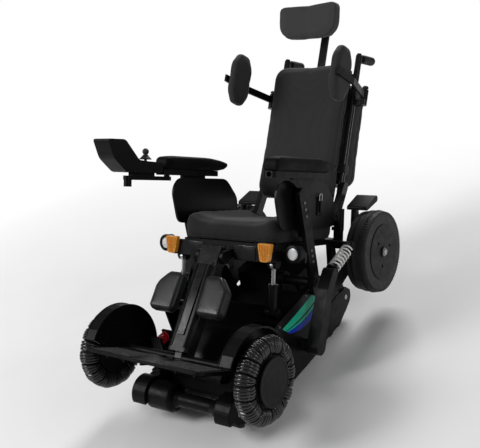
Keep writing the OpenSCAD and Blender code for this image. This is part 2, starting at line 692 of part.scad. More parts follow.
// Rear wheels: a lift lever and a swing arm on one axis, with a coil spring between them
rear_axle_c = [wheel_base, rear_axle_z];
rear_axle_r = 10;
rear_in_x = rear_wheel_out_x - rear_tyre_w;
lever_knee = [424, 280];
lever_top = [474, 318];
lever_foot_r = 26;
lever_boss_rings = 3;
lever_boss_step = 7;
lever_seat_r = 22;
lever_seat_wall = 6;
buffer_r = 7;
buffer_share = 0.55;
shock_x = lever_x + lever_w / 2;
shock_lean = 8;
shock_length = 118;
shock_r = 18;
shock_wire = 3.6;
shock_turns = 7;
lever_seat_out = 14;
shock_foot = lever_top + turned([lever_seat_wall + lever_seat_out, 0], shock_lean);
shock_head = shock_foot + turned([shock_length, 0], shock_lean);
rear_arm_out = 64;
rear_arm_x = tub_in_x + rear_arm_out;
rear_arm_w = 20;
rear_arm_pivot_r = 32;
rear_arm_hub_r = 34;
rear_arm_neck_share = 0.62;
rear_neck_r = 24;
rear_grip_low = [808, 398];
rear_grip_end = [886, 401];
rear_grip_low_r = 8;
rear_grip_end_r = 12;
rear_grip_in = 48;
rear_grip_x = rear_wheel_out_x - rear_grip_in;
rear_ear_neck_r = 11;
rear_ear_r = 14;
disc_wall = 7;
disc_hole_r = 6;
disc_hole_at_share = 0.52;
disc_holes = 3;
disc_hole_turn = 30;
disc_boss_r = 20;
disc_boss_h = 4;
disc_hub_r = 30;
tyre_side_r = 12;
tyre_groove = 4;
tyre_groove_w = 4;
tyre_groove_share = 0.3;
tyre_step = 3;

module rear_lever(left) color(metal_grey) handed(left) on_chassis() {
    difference() {
        union() {
            side(lever_x, lever_x + lever_w) {
                polygon(bar(lever_c, lever_knee, lever_foot_r, lever_depth / 2));
                polygon(bar(lever_knee, lever_top, lever_depth / 2, lever_depth / 2));
            }
            rod_x(cover_x + cover_rib_h + plate_gap, lever_x + cut, lever_c, lever_tube_r);
            for (i = [0:lever_boss_rings - 1])
                rod_x(lever_x - (i + 1) * lever_boss_step, lever_x - (i + 1)
                    * lever_boss_step + lever_boss_step / 2,
                    lever_c, lever_tube_r + (lever_boss_rings - i));
        }
        rod_x(cover_x, lever_pin_end_x + run_gap, lever_c, lever_pin_r + run_gap);
    }
    translate([shock_x, lever_top[0], lever_top[1]]) rotate([shock_lean, 0, 0]) rotate([-90, 0, 0]) {
        cylinder(h = lever_seat_wall + lever_seat_out - spring_gap,
            r = lever_depth / 2 - lever_seat_wall / 2);
        translate([0, 0, lever_seat_out - spring_gap]) cylinder(h = lever_seat_wall, r = lever_seat_r);
        cylinder(h = shock_length * buffer_share, r = buffer_r);
    }
}
module rear_arm(left) color(charcoal) handed(left) on_chassis() {
    neck = mix(lever_c, rear_axle_c, rear_arm_neck_share);
    head = shock_head + turned([lever_seat_wall + rear_ear_r, 0], shock_lean);
    difference() {
        union() {
            side(rear_arm_x, rear_arm_x + rear_arm_w) {
                polygon(bar(lever_c, rear_axle_c, rear_arm_pivot_r, rear_arm_hub_r));
                polygon(bar(neck, head, rear_neck_r, rear_ear_r));
                polygon(bar(rear_axle_c, mix(rear_grip_low, rear_grip_end, 1 / 2), rear_neck_r,
                    rear_grip_low_r));
            }
            side(rear_arm_x, rear_grip_x)
                polygon(bar(rear_grip_low, rear_grip_end, rear_grip_low_r, rear_grip_end_r));
            rod_x(rear_arm_x, shock_x + rear_ear_r, head, rear_ear_r);
        }
        rod_x(rear_arm_x - cut, rear_arm_x + rear_arm_w + cut, lever_c, lever_pin_r + run_gap);
    }
    rod_x(rear_arm_x, rear_wheel_out_x - disc_wall, rear_axle_c, rear_axle_r);
    translate([shock_x, head[0], head[1]]) rotate([shock_lean, 0, 0]) rotate([90, 0, 0]) {
        cylinder(h = rear_ear_r + lever_seat_wall - spring_gap, r = rear_ear_neck_r);
        translate([0, 0, rear_ear_r - spring_gap]) cylinder(h = lever_seat_wall, r = lever_seat_r);
    }
}
module rear_spring(left) color(spring_white) handed(left) on_chassis()
    translate([shock_x, shock_foot[0], shock_foot[1]]) rotate([shock_lean, 0, 0]) rotate([-90, 0, 0])
        coil(shock_r, shock_wire, shock_length, shock_turns);
module rear_disc(left) color(metal_grey) handed(left) on_chassis() difference() {
    union() {
        rod_x(rear_wheel_out_x - disc_wall, rear_wheel_out_x, rear_axle_c, rear_disc_r - run_gap);
        rod_x(rear_wheel_out_x - cut, rear_wheel_out_x + disc_boss_h, rear_axle_c, disc_boss_r);
        rod_x(rear_in_x, rear_wheel_out_x - disc_wall + cut, rear_axle_c, disc_hub_r);
    }
    rod_x(rear_in_x - cut, rear_wheel_out_x - disc_wall + run_gap, rear_axle_c, rear_axle_r + run_gap);
    for (i = [0:disc_holes - 1])
        translate([0, rear_axle_c[0], rear_axle_c[1]]) rotate([360 * i / disc_holes + disc_hole_turn,
            0, 0])
            rod_x(rear_wheel_out_x - disc_wall - cut, rear_wheel_out_x + cut,
                [0, rear_disc_r * disc_hole_at_share], disc_hole_r);
}
module rear_tyre(left) color(tyre_grey) handed(left) on_chassis() {
    groove_x = rear_tyre_w * tyre_groove_share;
    revolved_x(rear_in_x, rear_axle_c) polygon(concat(
        [[rear_disc_r, 0], [rear_wheel_r - tyre_side_r, 0]],
        arc([rear_wheel_r - tyre_side_r - tyre_step, tyre_side_r], tyre_side_r, -70, 0),
        [[rear_wheel_r - tyre_step, groove_x], [rear_wheel_r - tyre_groove - tyre_step, groove_x],
        [rear_wheel_r - tyre_groove - tyre_step, groove_x + tyre_groove_w],
        [rear_wheel_r, groove_x + tyre_groove_w]],
        arc([rear_wheel_r - tyre_side_r, rear_tyre_w - tyre_side_r], tyre_side_r, 0, 60),
        [[rear_disc_r + tyre_side_r, rear_tyre_w - tyre_step / 2],
            [rear_disc_r, rear_tyre_w - tyre_step]]));
}

// Seat unit, in the seat's own frame from its pivot: back and up
pan_z = 110;
pan_wall = 18;
pan_front = -160;
pan_d = 425;
pan_corner_r = 30;
cushion_gap = 0.3;
strut_top = [-87, 289];
strut_low = [18, -24];
strut_bridge_z = 98;
strut_bridge_h = 30;
post_u = -60;
post_w = 40;
post_in = 32;
post_x = strut_x - post_in;
post_wall = 10;
keeper_wall = 8;
keeper_h = 24;
keepers = [206, 260];
motor_x = 214;
motor_r = 13;
motor_u = 236;
motor_low = 160;
motor_h = 78;
guard_in = 46;
guard_x = strut_x - guard_in;
guard_sheet = 8;
guard_pts = [[-157, 176], [-192, 291], [-162, 334], [112, 334], [186, 262], [186, 176]];
guard_corner_r = 26;
back_hinge = [262, 190];
back_pin_r = 9;
back_ear_r = 24;
back_ear_x = 186;
back_ear_w = 14;
leg_hinge = [-225, 82];
leg_pin_r = 9;
leg_ear_r = 22;
leg_ear_w = 12;
beam_front = -196;
beam_back = -118;
beam_low = 70;
beam_high = 126;
beam_top_in = 81;
beam_half_top = strut_x - beam_top_in;
beam_out = 38;
beam_half = strut_x + beam_out;
beam_end_low = 74;
beam_end_high = 122;
beam_slot_room = 24;
beam_slot_half = leg_w / 2 + beam_slot_room;
beam_bridge_h = 12;
beam_ear_r = 12;
beam_shoulder_h = 124;
beam_corner_r = 8;
lamp_out = 10;
lamp_x = strut_x + lamp_out;
lamp_w = 104;
lamp_front = -158;
lamp_r = 29;
lamp_depth = 30;
lamp_rim = 3;
lens_r = 25;
lens_dome = 5;
turn_in = 62;
turn_x = strut_x - turn_in;
turn_w = 52;
turn_h = 58;
turn_d = 16;
turn_foot_share = 0.6;
turn_z = 106;
cushion_z = pan_z + pan_wall + cushion_gap;

module seat_frame() color(charcoal) on_seat() {
    translate([0, pan_front + pan_d / 2, pan_z]) slab(cushion_w - pan_corner_r, pan_d, pan_wall,
        pan_corner_r);
    translate([-back_ear_x - back_ear_w, back_hinge[0] - back_ear_r, pan_z])
        cube([2 * (back_ear_x + back_ear_w), 2 * back_ear_r, pan_wall]);
    bridge_u = mix(strut_low, strut_top, (strut_bridge_z - strut_low[1])
        / (strut_top[1] - strut_low[1]))[0];
    pair() {
        difference() {
            side(strut_x - strut_wall, strut_x) polygon(bar(strut_low, strut_top, strut_w / 2,
                strut_w / 2));
            rod_x(strut_x - strut_wall - cut, strut_x + cut, [0, 0], pivot_pin_r + run_gap);
        }
        translate([cushion_w / 2 - pan_corner_r * 2, bridge_u - strut_w / 2, strut_bridge_z])
            cube([strut_x - strut_wall / 2 - cushion_w / 2 + pan_corner_r * 2, strut_w, strut_bridge_h]);
        for (w = keepers) difference() {
            translate([guard_x + guard_sheet, post_u - post_w / 2 - keeper_wall, w])
                cube([strut_x - strut_wall / 2 - guard_x - guard_sheet, post_w + 2 * keeper_wall,
                    keeper_h]);
            translate([post_x - run_gap, post_u - post_w / 2 - run_gap, w - cut])
                cube([post_wall + 2 * run_gap, post_w + 2 * run_gap, keeper_h + 2 * cut]);
        }
        side(back_ear_x, back_ear_x + back_ear_w) polygon(concat(
            [[back_hinge[0] - back_ear_r, pan_z], [back_hinge[0] + back_ear_r, pan_z]],
            arc(back_hinge, back_ear_r, 0, 180)));
        translate([back_ear_x, motor_u - motor_r, motor_low])
            cube([motor_x - back_ear_x, 2 * motor_r, motor_r]);
        translate([motor_x, motor_u, motor_low]) cylinder(h = motor_h, r = motor_r);
        side(leg_w / 2 + plate_gap, leg_w / 2 + plate_gap + leg_ear_w) polygon(concat(
            [[pan_front + pan_corner_r * 2, pan_z + pan_wall / 2]], arc(leg_hinge, leg_ear_r, 120, 330)));
        rod_x(back_ear_x - back_ear_w - plate_gap, back_ear_x + back_ear_w, back_hinge, back_pin_r);
    }
    rod_x(-leg_w / 2 - plate_gap - leg_ear_w, leg_w / 2 + plate_gap + leg_ear_w, leg_hinge, leg_pin_r);
}

module front_beam() color(black) on_seat() difference() {
    union() {
        translate([0, beam_back, 0]) rotate([90, 0, 0]) linear_extrude(beam_back - beam_front)
            difference() {
            polygon(rounded([[-beam_half, beam_end_low], [beam_half, beam_end_low],
                [beam_half, beam_end_high],
                [beam_half - lamp_r * 2, beam_shoulder_h], [beam_half_top + turn_w / 2, beam_high],
                [-beam_half_top - turn_w / 2, beam_high], [-beam_half + lamp_r * 2, beam_shoulder_h],
                [-beam_half, beam_end_high]], beam_corner_r));
            translate([-beam_slot_half, beam_low - cut])
                square([2 * beam_slot_half, beam_high - beam_bridge_h - beam_low + cut]);
        }
        pair() for (x = [cyl_x - cyl_ear_w * 3 / 2 - tilt_fork_gap,
            cyl_x + cyl_ear_w / 2 + tilt_fork_gap])
            side(x, x + cyl_ear_w) polygon(concat(
                [[rod_top_s[0] - tilt_eye_r, beam_end_low + cut], rod_top_s - [tilt_eye_r, 0]],
                arc(rod_top_s, beam_ear_r, 200, 340),
                [rod_top_s + [tilt_eye_r, 0], [rod_top_s[0] + tilt_eye_r, beam_end_low + cut]]));
        pair() rod_x(cyl_x - cyl_ear_w, cyl_x + cyl_ear_w, rod_top_s, tilt_pin_r);
    }
    pair() difference() {
        translate([cyl_x - cyl_ear_w / 2 - tilt_fork_gap, rod_top_s[0] - tilt_eye_r - pass_gap,
            beam_end_low - cut])
            cube([cyl_ear_w + 2 * tilt_fork_gap, 2 * (tilt_eye_r + pass_gap), tilt_eye_r + pass_gap]);
        rod_x(cyl_x - cyl_ear_w, cyl_x + cyl_ear_w, rod_top_s, tilt_pin_r);
    }
    pair() translate([beam_half_top + turn_w / 2 + lamp_rim, beam_front - cut, beam_end_low - cut])
        cube([beam_half - beam_half_top, lamp_front + lamp_depth - beam_front + cut,
            beam_high - beam_end_low + 2 * pass_gap]);
    side(-cushion_w, cushion_w) polygon([[pan_front - pan_corner_r, pan_z], [beam_back + cut, pan_z],
        [beam_back + cut, beam_high + cut], [pan_front - pan_corner_r, beam_high + cut]]);
}
module on_lamp() on_seat() pair() translate([lamp_x, lamp_front, lamp_w]) rotate([-90, 0, 0]) children();
module headlights() color(black) on_lamp() difference() {
    cylinder(h = lamp_depth, r = lamp_r);
    translate([0, 0, -cut]) cylinder(h = lamp_rim * 2 + cut, r = lens_r + run_gap);
}
module headlight_lenses() color(lens_white) on_lamp() {
    cylinder(h = lamp_rim * 2, r = lens_r);
    intersection() {
        translate([0, 0, lens_r * lens_r / (2 * lens_dome) - lens_dome / 2])
            sphere(r = (lens_r * lens_r / lens_dome + lens_dome) / 2);
        translate([0, 0, -lens_dome]) cylinder(h = lens_dome + cut, r = lens_r);
    }
}
module turn_lamps() color(amber) on_seat() pair() translate([turn_x, beam_front, turn_z])
    rotate([90, 0, 0])
    linear_extrude(turn_d) polygon(rounded([[-turn_w / 2 * turn_foot_share, -turn_h / 2],
        [turn_w / 2 * turn_foot_share, -turn_h / 2], [turn_w / 2, turn_h / 2],
        [-turn_w / 2, turn_h / 2]], beam_corner_r));
module seat_cushion() color(fabric_grey) on_seat()
    translate([0, pan_front + cushion_d / 2, cushion_z + cushion_edge_h / 2])
        pillow(cushion_w, cushion_d, cushion_edge_h, cushion_crown_h, 0);
module side_guards() color(black) on_seat() pair()
    side(guard_x, guard_x + guard_sheet) polygon(rounded(guard_pts, guard_corner_r));

// Arm rests: an arm on a post that slides in the side strut, with a pad on top
arm_low = 342;
arm_base_h = 20;
arm_base_w = 42;
arm_base_rear = 70;
arm_pad_z = arm_low + arm_base_h;
arm_flare = 62;
arm_flare_h = 16;
arm_flare_wall = 14;
arm_neck_h = 44;
pad_rear = 123;
pad_front_right = -232;
post_low = 152;
arm_x = arm_pad_x;
bracket_pivot_u = -196;
bracket_pin_r = 6;
bracket_pin_h = 16;
module arm_rest(front, left) color(charcoal) handed(left) on_seat() {
    difference() {
        translate([arm_x, (front + arm_base_rear) / 2, arm_low])
            slab(arm_base_w, arm_base_rear - front, arm_base_h, arm_base_h / 2);
        if (left) translate([arm_x, front - cut, arm_low + arm_base_h / 2]) rotate([-90, 0, 0])
            cylinder(h = socket_depth + cut, r = socket_r);
        else translate([arm_x, bracket_pivot_u, arm_low - cut])
            cylinder(h = bracket_pin_h + run_gap + cut, r = bracket_pin_r + run_gap);
    }
    translate([post_x, post_u - post_w / 2, post_low]) cube([post_wall, post_w,
        arm_low - post_low + cut]);
    side(post_x, post_x + arm_flare_wall) polygon([[post_u - post_w / 2, arm_low - arm_neck_h],
        [post_u + post_w / 2, arm_low - arm_neck_h], [post_u + arm_flare, arm_low - arm_flare_h],
        [post_u + arm_flare, arm_low + cut], [post_u - arm_flare, arm_low + cut],
        [post_u - arm_flare, arm_low - arm_flare_h]]);
}
module arm_left() arm_rest(pad_rear - arm_pad_length, true);
module arm_right() arm_rest(pad_front_right, false);
pad_corner_r = 14;
pad_round = 10;
pad_taper = 90;
pad_tail_low = 14;
pad_tail_high = 34;
module arm_pad(front, left) color(black) handed(left) on_seat() translate([arm_x, 0, arm_pad_z])
    intersection() {
    translate([0, (front + pad_rear) / 2, 0]) slab(arm_pad_w, pad_rear - front, arm_pad_h,
        pad_corner_r * 2);
    translate([0, pad_rear, 0]) rotate([90, 0, 0]) linear_extrude(pad_rear - front)
        polygon(rounded([[-arm_pad_w / 2, 0], [arm_pad_w / 2, 0], [arm_pad_w / 2, arm_pad_h],
            [-arm_pad_w / 2, arm_pad_h]], pad_round));
    side(-arm_pad_w, arm_pad_w) polygon([[front, 0], [pad_rear - pad_taper / 2, 0],
        [pad_rear, pad_tail_low],
        [pad_rear, pad_tail_high], [pad_rear - pad_taper, arm_pad_h], [front, arm_pad_h]]);
}
module arm_pad_left() arm_pad(pad_rear - arm_pad_length, true);
module arm_pad_right() arm_pad(pad_front_right, false);

// Controller: a swing bracket under the right arm carries the box
bracket_h = 14;
bracket_w = 30;
bracket_front = -386;
bracket_drop = 5;
bracket_top = arm_low - bracket_drop;
bracket_collar_r = 10;
bracket_seat_h = 10;
bracket_knob_r = 13;
bracket_knob_h = 22;
box_w = 68;
box_corner_r = 12;
box_side = [[-256, 347], [-250, 383], [-366, 387], [-432, 452], [-510, 450], [-482, 390], [-424, 347]];
stick_u = -304;
stick_base_w = 384;
stick_well_r = 15;
stick_well_d = 26;
gimbal_r = 12;
gimbal_h = 8;
stick_r = 5;
stick_h = 34;
stick_ball_r = 11;
boot_r = 21;
boot_h = 16;
boot_gap = 8;
boot_shares = [[1, 0], [0.86, 0.3], [0.78, 0.34], [0.62, 0.62], [0.54, 0.66], [0.4, 1]];
button_u = -342;
button_x = 24;
button_r = 7;
button_h = 9;
button_out = 4;
module right_hand() on_seat() translate([-arm_x, 0, 0]) children();
module swing_bracket() color(charcoal) right_hand() {
    translate([0, 0, bracket_top - bracket_h]) linear_extrude(bracket_h)
        polygon(bar([0, bracket_front], [0, bracket_pivot_u], bracket_w / 2, bracket_w / 2));
    translate([0, bracket_pivot_u, bracket_top - bracket_h])
        cylinder(h = bracket_h + bracket_drop + bracket_pin_h, r = bracket_pin_r);
    translate([0, bracket_pivot_u, bracket_top - cut])
        cylinder(h = bracket_drop + cut - run_gap, r = bracket_collar_r);
    translate([0, bracket_front, bracket_top - bracket_h - bracket_knob_h])
        cylinder(h = bracket_knob_h + cut, r = bracket_knob_r);
    translate([0, (bracket_front + box_side[0][0]) / 2, bracket_top - cut])
        slab(bracket_w, box_side[0][0] - bracket_front - bracket_w, bracket_seat_h + cut,
            box_corner_r / 2);
}
module controller_box() color(black) right_hand() difference() {
    side(-box_w / 2, box_w / 2) polygon(rounded(box_side, box_corner_r));
    translate([0, stick_u, stick_base_w - stick_well_d]) cylinder(h = stick_well_d * 2, r = stick_well_r);
    translate([button_x, button_u, stick_base_w - button_h])
        cylinder(h = button_h * 2, r = button_r + run_gap);
}
gimbal_c = [0, stick_u, stick_base_w - stick_well_d / 2];
module joystick_gimbal() color(steel) right_hand() translate(gimbal_c) {
    difference() {
        cylinder(h = gimbal_h, r = gimbal_r, center = true);
        cylinder(h = gimbal_h + 2 * cut, r = gimbal_r - plate_gap, center = true);
    }
    pair() rod_x(gimbal_r - plate_gap, stick_well_r - run_gap, [0, 0], plate_gap / 2);
}
module joystick() color(black) right_hand() translate(gimbal_c) {
    translate([0, 0, -gimbal_h / 2]) cylinder(h = stick_well_d / 2 + stick_h, r = stick_r);
    translate([0, 0, stick_well_d / 2 + stick_h]) sphere(r = stick_ball_r);
    translate([0, gimbal_r - plate_gap - run_gap, 0]) rotate([90, 0, 0])
        cylinder(h = 2 * (gimbal_r - plate_gap - run_gap), r = plate_gap / 2);
    translate([0, 0, stick_well_d / 2 + boot_gap]) rotate_extrude() polygon(concat(
        [[stick_r - cut, 0]], [for (f = boot_shares) [boot_r * f[0], boot_h * f[1]]],
            [[stick_r - cut, boot_h]]));
}
module power_button() color(steel) right_hand() translate([button_x, button_u,
    stick_base_w - button_h + plate_gap])
    cylinder(h = button_h + button_out - plate_gap, r = button_r);

// Back: frame tubes, cushion, grips, bag, headrest and lateral supports, in the back's frame
back_rim = -14;
back_low = 68;
back_hollow_h = 5;
back_sheet = 8;
back_room = 1;
tube_r = 12;
tube_x = 160;
tube_d = back_rim + back_edge_h / 2 + back_hollow_h + back_room + back_sheet + tube_r;
tube_top = 634;
tube_cap_h = 9;
back_clip_h = 16;
back_clip_x = min(back_w / 2 - 3 * tube_r, tube_x - 2 * tube_r);
tube_low = 114;
back_foot_w = 22;
back_foot_low_r = 17;
back_foot_high_r = 16;
cross_low = 150;
cross_high = 560;
cross_r = 10;
grip_length = 82;
grip_r = 15;
grip_bar_r = 8;
grip_start = 26;
grip_lean = 14;
grip_end_wall = 5;
bag_low = 146;
bag_high = 560;
bag_w = 318;
bag_d = 92;
bag_out = 34;
bag_corner_r = 34;
bag_strap_w = 18;
bag_strap_h = 30;
bag_straps = [190, 480];
mast_w = 30;
mast_d = 10;
mast_low = 400;
mast_top = 766;
mast_sleeve_w = 46;
mast_sleeve_h = 60;
mast_sleeve_wall = 6;
mast_front = tube_d - mast_d / 2;
mast_slot = 10;
head_hinge_d = 26;
head_c = [-40, 754];
head_pin_r = 6;
head_fork_r = 12;
head_eye_r = 10;
head_lug_r = 13;
head_room_r = 16;
lateral_x = 206;
lateral_crank = 34;
lateral_l = 494;
lateral_pin_r = 7;
lateral_boss_r = 13;
lateral_base_low = 46;
lateral_base_h = 22;
lateral_boss_h = 36;
lateral_step = 1;
lateral_pin_h = 62;
lateral_strap_w = 18;
lateral_reach = 158;
lateral_arm_w = 8;
lateral_arm_h = 26;
lateral_pad_w = 38;
lateral_pad_d = 118;
lateral_pad_h = 204;
lateral_pad_end_share = 0.5;
lateral_pad_mid_share = 0.18;

module mast_space(gap, l0, l1) translate([-mast_w / 2 - gap, mast_front - gap, l0])
    cube([mast_w + 2 * gap, mast_d + 2 * gap, l1 - l0]);
module on_grip() on_back() translate([tube_x, tube_d, tube_top]) rotate([grip_lean - 90, 0, 0])
    children();
module backrest_frame() color(charcoal) {
    on_back() {
        pair() {
            translate([tube_x, tube_d, tube_low]) cylinder(h = tube_top + tube_cap_h - tube_low,
                r = tube_r);
            translate([tube_x, tube_d, tube_top + tube_cap_h])
                cylinder(h = tube_cap_h, r1 = tube_r, r2 = grip_bar_r);
            difference() {
                side(back_ear_x - back_foot_w - plate_gap, back_ear_x - plate_gap)
                    polygon(bar([0, 0], [tube_d, cross_low - tube_r], back_foot_low_r, back_foot_high_r));
                rod_x(tube_x - tube_r, back_ear_x, [0, 0], back_pin_r + run_gap);
            }
            translate([tube_x, tube_d - lateral_strap_w / 2, lateral_l - lateral_base_low])
                cube([lateral_x - tube_x, lateral_strap_w, lateral_base_h]);
            translate([lateral_x, tube_d, lateral_l - lateral_base_low]) {
                cylinder(h = lateral_base_h, r = lateral_boss_r);
                cylinder(h = lateral_pin_h, r = lateral_pin_r);
            }
        }
        rod_x(-tube_x, tube_x, [tube_d, cross_low], cross_r);
        difference() {
            translate([-back_w / 2 + 2 * tube_r, tube_d - tube_r - back_sheet, back_low + tube_r])
                cube([back_w - 4 * tube_r, back_sheet, back_length - 3 * tube_r]);
            translate([-mast_sleeve_w / 2 - cut, tube_d - tube_r - back_sheet - cut,
                cross_high - mast_sleeve_h])
                cube([mast_sleeve_w + 2 * cut, back_sheet + 2 * cut, back_length]);
        }
        pair() for (l = [cross_low, cross_high])
            translate([back_clip_x, tube_d - tube_r - back_sheet / 2, l - back_clip_h / 2])
                cube([tube_x - back_clip_x, tube_r, back_clip_h]);
        difference() {
            union() {
                rod_x(-tube_x, tube_x, [tube_d, cross_high], cross_r);
                translate([-mast_sleeve_w / 2, mast_front - mast_sleeve_wall,
                    cross_high - mast_sleeve_h / 2])
                    cube([mast_sleeve_w, mast_d + mast_sleeve_wall * 2, mast_sleeve_h]);
            }
            mast_space(run_gap, cross_high - mast_sleeve_h, cross_high + mast_sleeve_h);
        }
    }
    pair() on_grip() cylinder(h = grip_start + grip_length - grip_end_wall, r = grip_bar_r);
}
module backrest_cushion() color(fabric_grey) on_back()
    translate([0, back_rim, back_low + back_length / 2]) rotate([90, 0, 0])
        pillow(back_w, back_length, back_edge_h, back_crown_h, back_hollow_h);
module hand_grips() color(black) pair() on_grip() translate([0, 0, grip_start]) difference() {
    cylinder(h = grip_length, r = grip_r);
    translate([0, 0, -cut]) cylinder(h = grip_length - grip_end_wall + cut, r = grip_bar_r);
}
module bag() color(fabric_grey) on_back() {
    translate([0, tube_d + bag_out, (bag_low + bag_high) / 2]) rotate([-90, 0, 0])
        slab(bag_w, bag_high - bag_low, bag_d, bag_corner_r);
    pair() difference() {
        for (l = bag_straps) translate([tube_x - bag_strap_w / 2 - tube_r / 2, tube_d + tube_r / 2, l])
            cube([bag_strap_w, bag_out - tube_r / 2 + cut, bag_strap_h]);
        translate([tube_x, tube_d, bag_low]) cylinder(h = bag_high - bag_low, r = tube_r);
    }
}
module headrest_mast() color(metal_grey) on_back() {
    mast_space(0, mast_low, mast_top);
    difference() {
        side(-mast_w / 2, mast_w / 2) polygon(bar([tube_d, head_c[1]], head_c, head_fork_r, head_eye_r));
        rod_x(-mast_slot / 2, mast_slot / 2, head_c, head_room_r);
    }
    rod_x(-mast_w / 2, mast_w / 2, head_c, head_pin_r);
}
module headrest_pad() color(fabric_grey) on_back() translate([0, head_c[0], head_c[1]])
    rotate([back_recline, 0, 0]) {
    difference() {
        side(-mast_slot / 2 + run_gap, mast_slot / 2 - run_gap)
            polygon(bar([0, 0], [-head_hinge_d, 0], head_eye_r, head_lug_r));
        rod_x(-mast_w, mast_w, [0, 0], head_pin_r + run_gap);
    }
    translate([0, -head_hinge_d - head_edge_h / 2 + cut, 0]) rotate([90, 0, 0])
        pillow(head_w, head_h, head_edge_h, 0, 0);
}
module lateral_arm(left) color(charcoal) handed(left) on_back() {
    w = lateral_arm_w / 2;
    translate([lateral_x, tube_d, lateral_l - lateral_base_low + lateral_base_h + lateral_step])
        difference() {
        union() {
            cylinder(h = lateral_boss_h, r = lateral_boss_r);
            linear_extrude(lateral_arm_h) polygon([[-w, 0], [w, 0], [lateral_crank + w, -lateral_reach],
                [lateral_crank + w, -lateral_reach - lateral_pad_d],
                [lateral_crank - w, -lateral_reach - lateral_pad_d],
                    [lateral_crank - w, -lateral_reach]]);
        }
        translate([0, 0, -cut]) cylinder(h = lateral_boss_h + 2 * cut, r = lateral_pin_r + run_gap);
    }
}
module lateral_pad(left) color(fabric_grey) handed(left) on_back() {
    d = lateral_pad_d;
    h = lateral_pad_h / 2;
    mid = lateral_pad_d * lateral_pad_mid_share;
    end = lateral_pad_h / 2 * lateral_pad_end_share;
    in_x = lateral_x + lateral_crank - lateral_arm_w / 2 - lateral_pad_w;
    translate([in_x, tube_d - lateral_reach - d / 2, lateral_l])
        side(0, lateral_pad_w) polygon(rounded([[-mid, -h], [mid, -h], [d / 2, -end], [d / 2, end],
            [mid, h], [-mid, h], [-d / 2, end], [-d / 2, -end]], pad_round));
}

// Leg rest: a column hinged under the seat's front edge, calf pads and a flip-up footplate
leg_d = 58;
leg_corner_r = 16;
calf_x = 96;
calf_w = 100;
calf_h = 132;
calf_d = 36;
calf_z = -150;
calf_front = -62;
calf_bar_h = 34;
calf_bar_d = 12;
calf_corner_r = 14;
calf_cut_share = 0.34;
foot_wall = 9;
foot_corner_r = 26;
foot_tube_r = 11;
foot_pin_r = 6;
foot_notch_d = 36;
foot_lug_w = 22;
foot_rib_w = 5;
foot_rib_h = 9;
foot_ribs = 7;
foot_pin_x = leg_w / 2 + foot_lug_w;
leg_tongue_w = 26;
leg_tongue_h = 44;
foot_strips = [0.25, 0.75];
module leg_column() color(charcoal) on_leg() {
    difference() {
        union() {
            translate([0, 0, -leg_length + foot_tube_r + pass_gap])
                slab(leg_w, leg_d, leg_length - foot_tube_r - pass_gap - leg_d / 2, leg_corner_r);
            rod_x(-leg_w / 2, leg_w / 2, [0, 0], leg_ear_r);
            side(-leg_w / 2, leg_w / 2) polygon(box_pts(leg_ear_r * 2, leg_d));
            side(-leg_tongue_w / 2, leg_tongue_w / 2)
                polygon(bar([0, -leg_length], [0, -leg_length + leg_tongue_h], foot_tube_r, foot_tube_r));
        }
        rod_x(-leg_w, leg_w, [0, 0], leg_pin_r + run_gap);
    }
    rod_x(-foot_pin_x, foot_pin_x, [0, -leg_length], foot_pin_r);
    translate([-calf_x - calf_w / 4, calf_front + calf_d, calf_z - calf_bar_h / 2])
        cube([2 * calf_x + calf_w / 2, calf_bar_d, calf_bar_h]);
    translate([-leg_w / 4, calf_front + calf_d, calf_z - calf_bar_h / 2])
        cube([leg_w / 2, -calf_front - calf_d, calf_bar_h]);
}
module calf_pads() color(fabric_grey) on_leg() pair() {
    w = calf_w / 2;
    h = calf_h / 2;
    corner = calf_w * calf_cut_share;
    translate([calf_x, calf_front + calf_d, calf_z]) rotate([90, 0, 0]) linear_extrude(calf_d)
        polygon(rounded([[-w, -h], [w, -h], [w, h - corner], [w - corner, h], [-w, h]], calf_corner_r));
}
module footplate() color(charcoal) on_foot() {
    tube_from = leg_tongue_w / 2 + run_gap;
    tube_to = foot_w / 2 - foot_corner_r;
    difference() {
        union() {
            translate([0, -foot_d / 2 - foot_tube_r, -foot_wall])
                slab(foot_w, foot_d, foot_wall, foot_corner_r);
            pair() {
                rod_x(tube_from, tube_to, [0, 0], foot_tube_r);
                translate([tube_from, -foot_tube_r * 2, -foot_wall])
                    cube([tube_to - tube_from, foot_tube_r * 2, foot_wall]);
            }
            for (i = [0:foot_ribs - 1])
                translate([mix(-tube_to, tube_to - foot_rib_w, i / (foot_ribs - 1)),
                    -foot_d - foot_tube_r + foot_corner_r / 2, -foot_wall - foot_rib_h])
                    cube([foot_rib_w, foot_d - foot_corner_r, foot_rib_h + cut]);
            for (s = foot_strips)
                translate([-tube_to, mix(-foot_d - foot_tube_r, -foot_tube_r, s),
                    -foot_wall - foot_rib_h])
                    cube([2 * tube_to, foot_rib_w, foot_rib_h + cut]);
        }
        rod_x(-foot_pin_x - cut, foot_pin_x + cut, [0, 0], foot_pin_r + run_gap);
        translate([-tube_from, -foot_tube_r - pass_gap, -foot_wall - foot_rib_h - cut])
            cube([2 * tube_from, foot_tube_r * 3, foot_wall * 2 + foot_rib_h + 2 * cut]);
        translate([-leg_w / 2 - pass_gap, -foot_notch_d - foot_tube_r - pass_gap,
            -foot_wall - foot_rib_h - cut])
            cube([leg_w + 2 * pass_gap, foot_notch_d, foot_wall + foot_rib_h + 2 * cut]);
    }
}

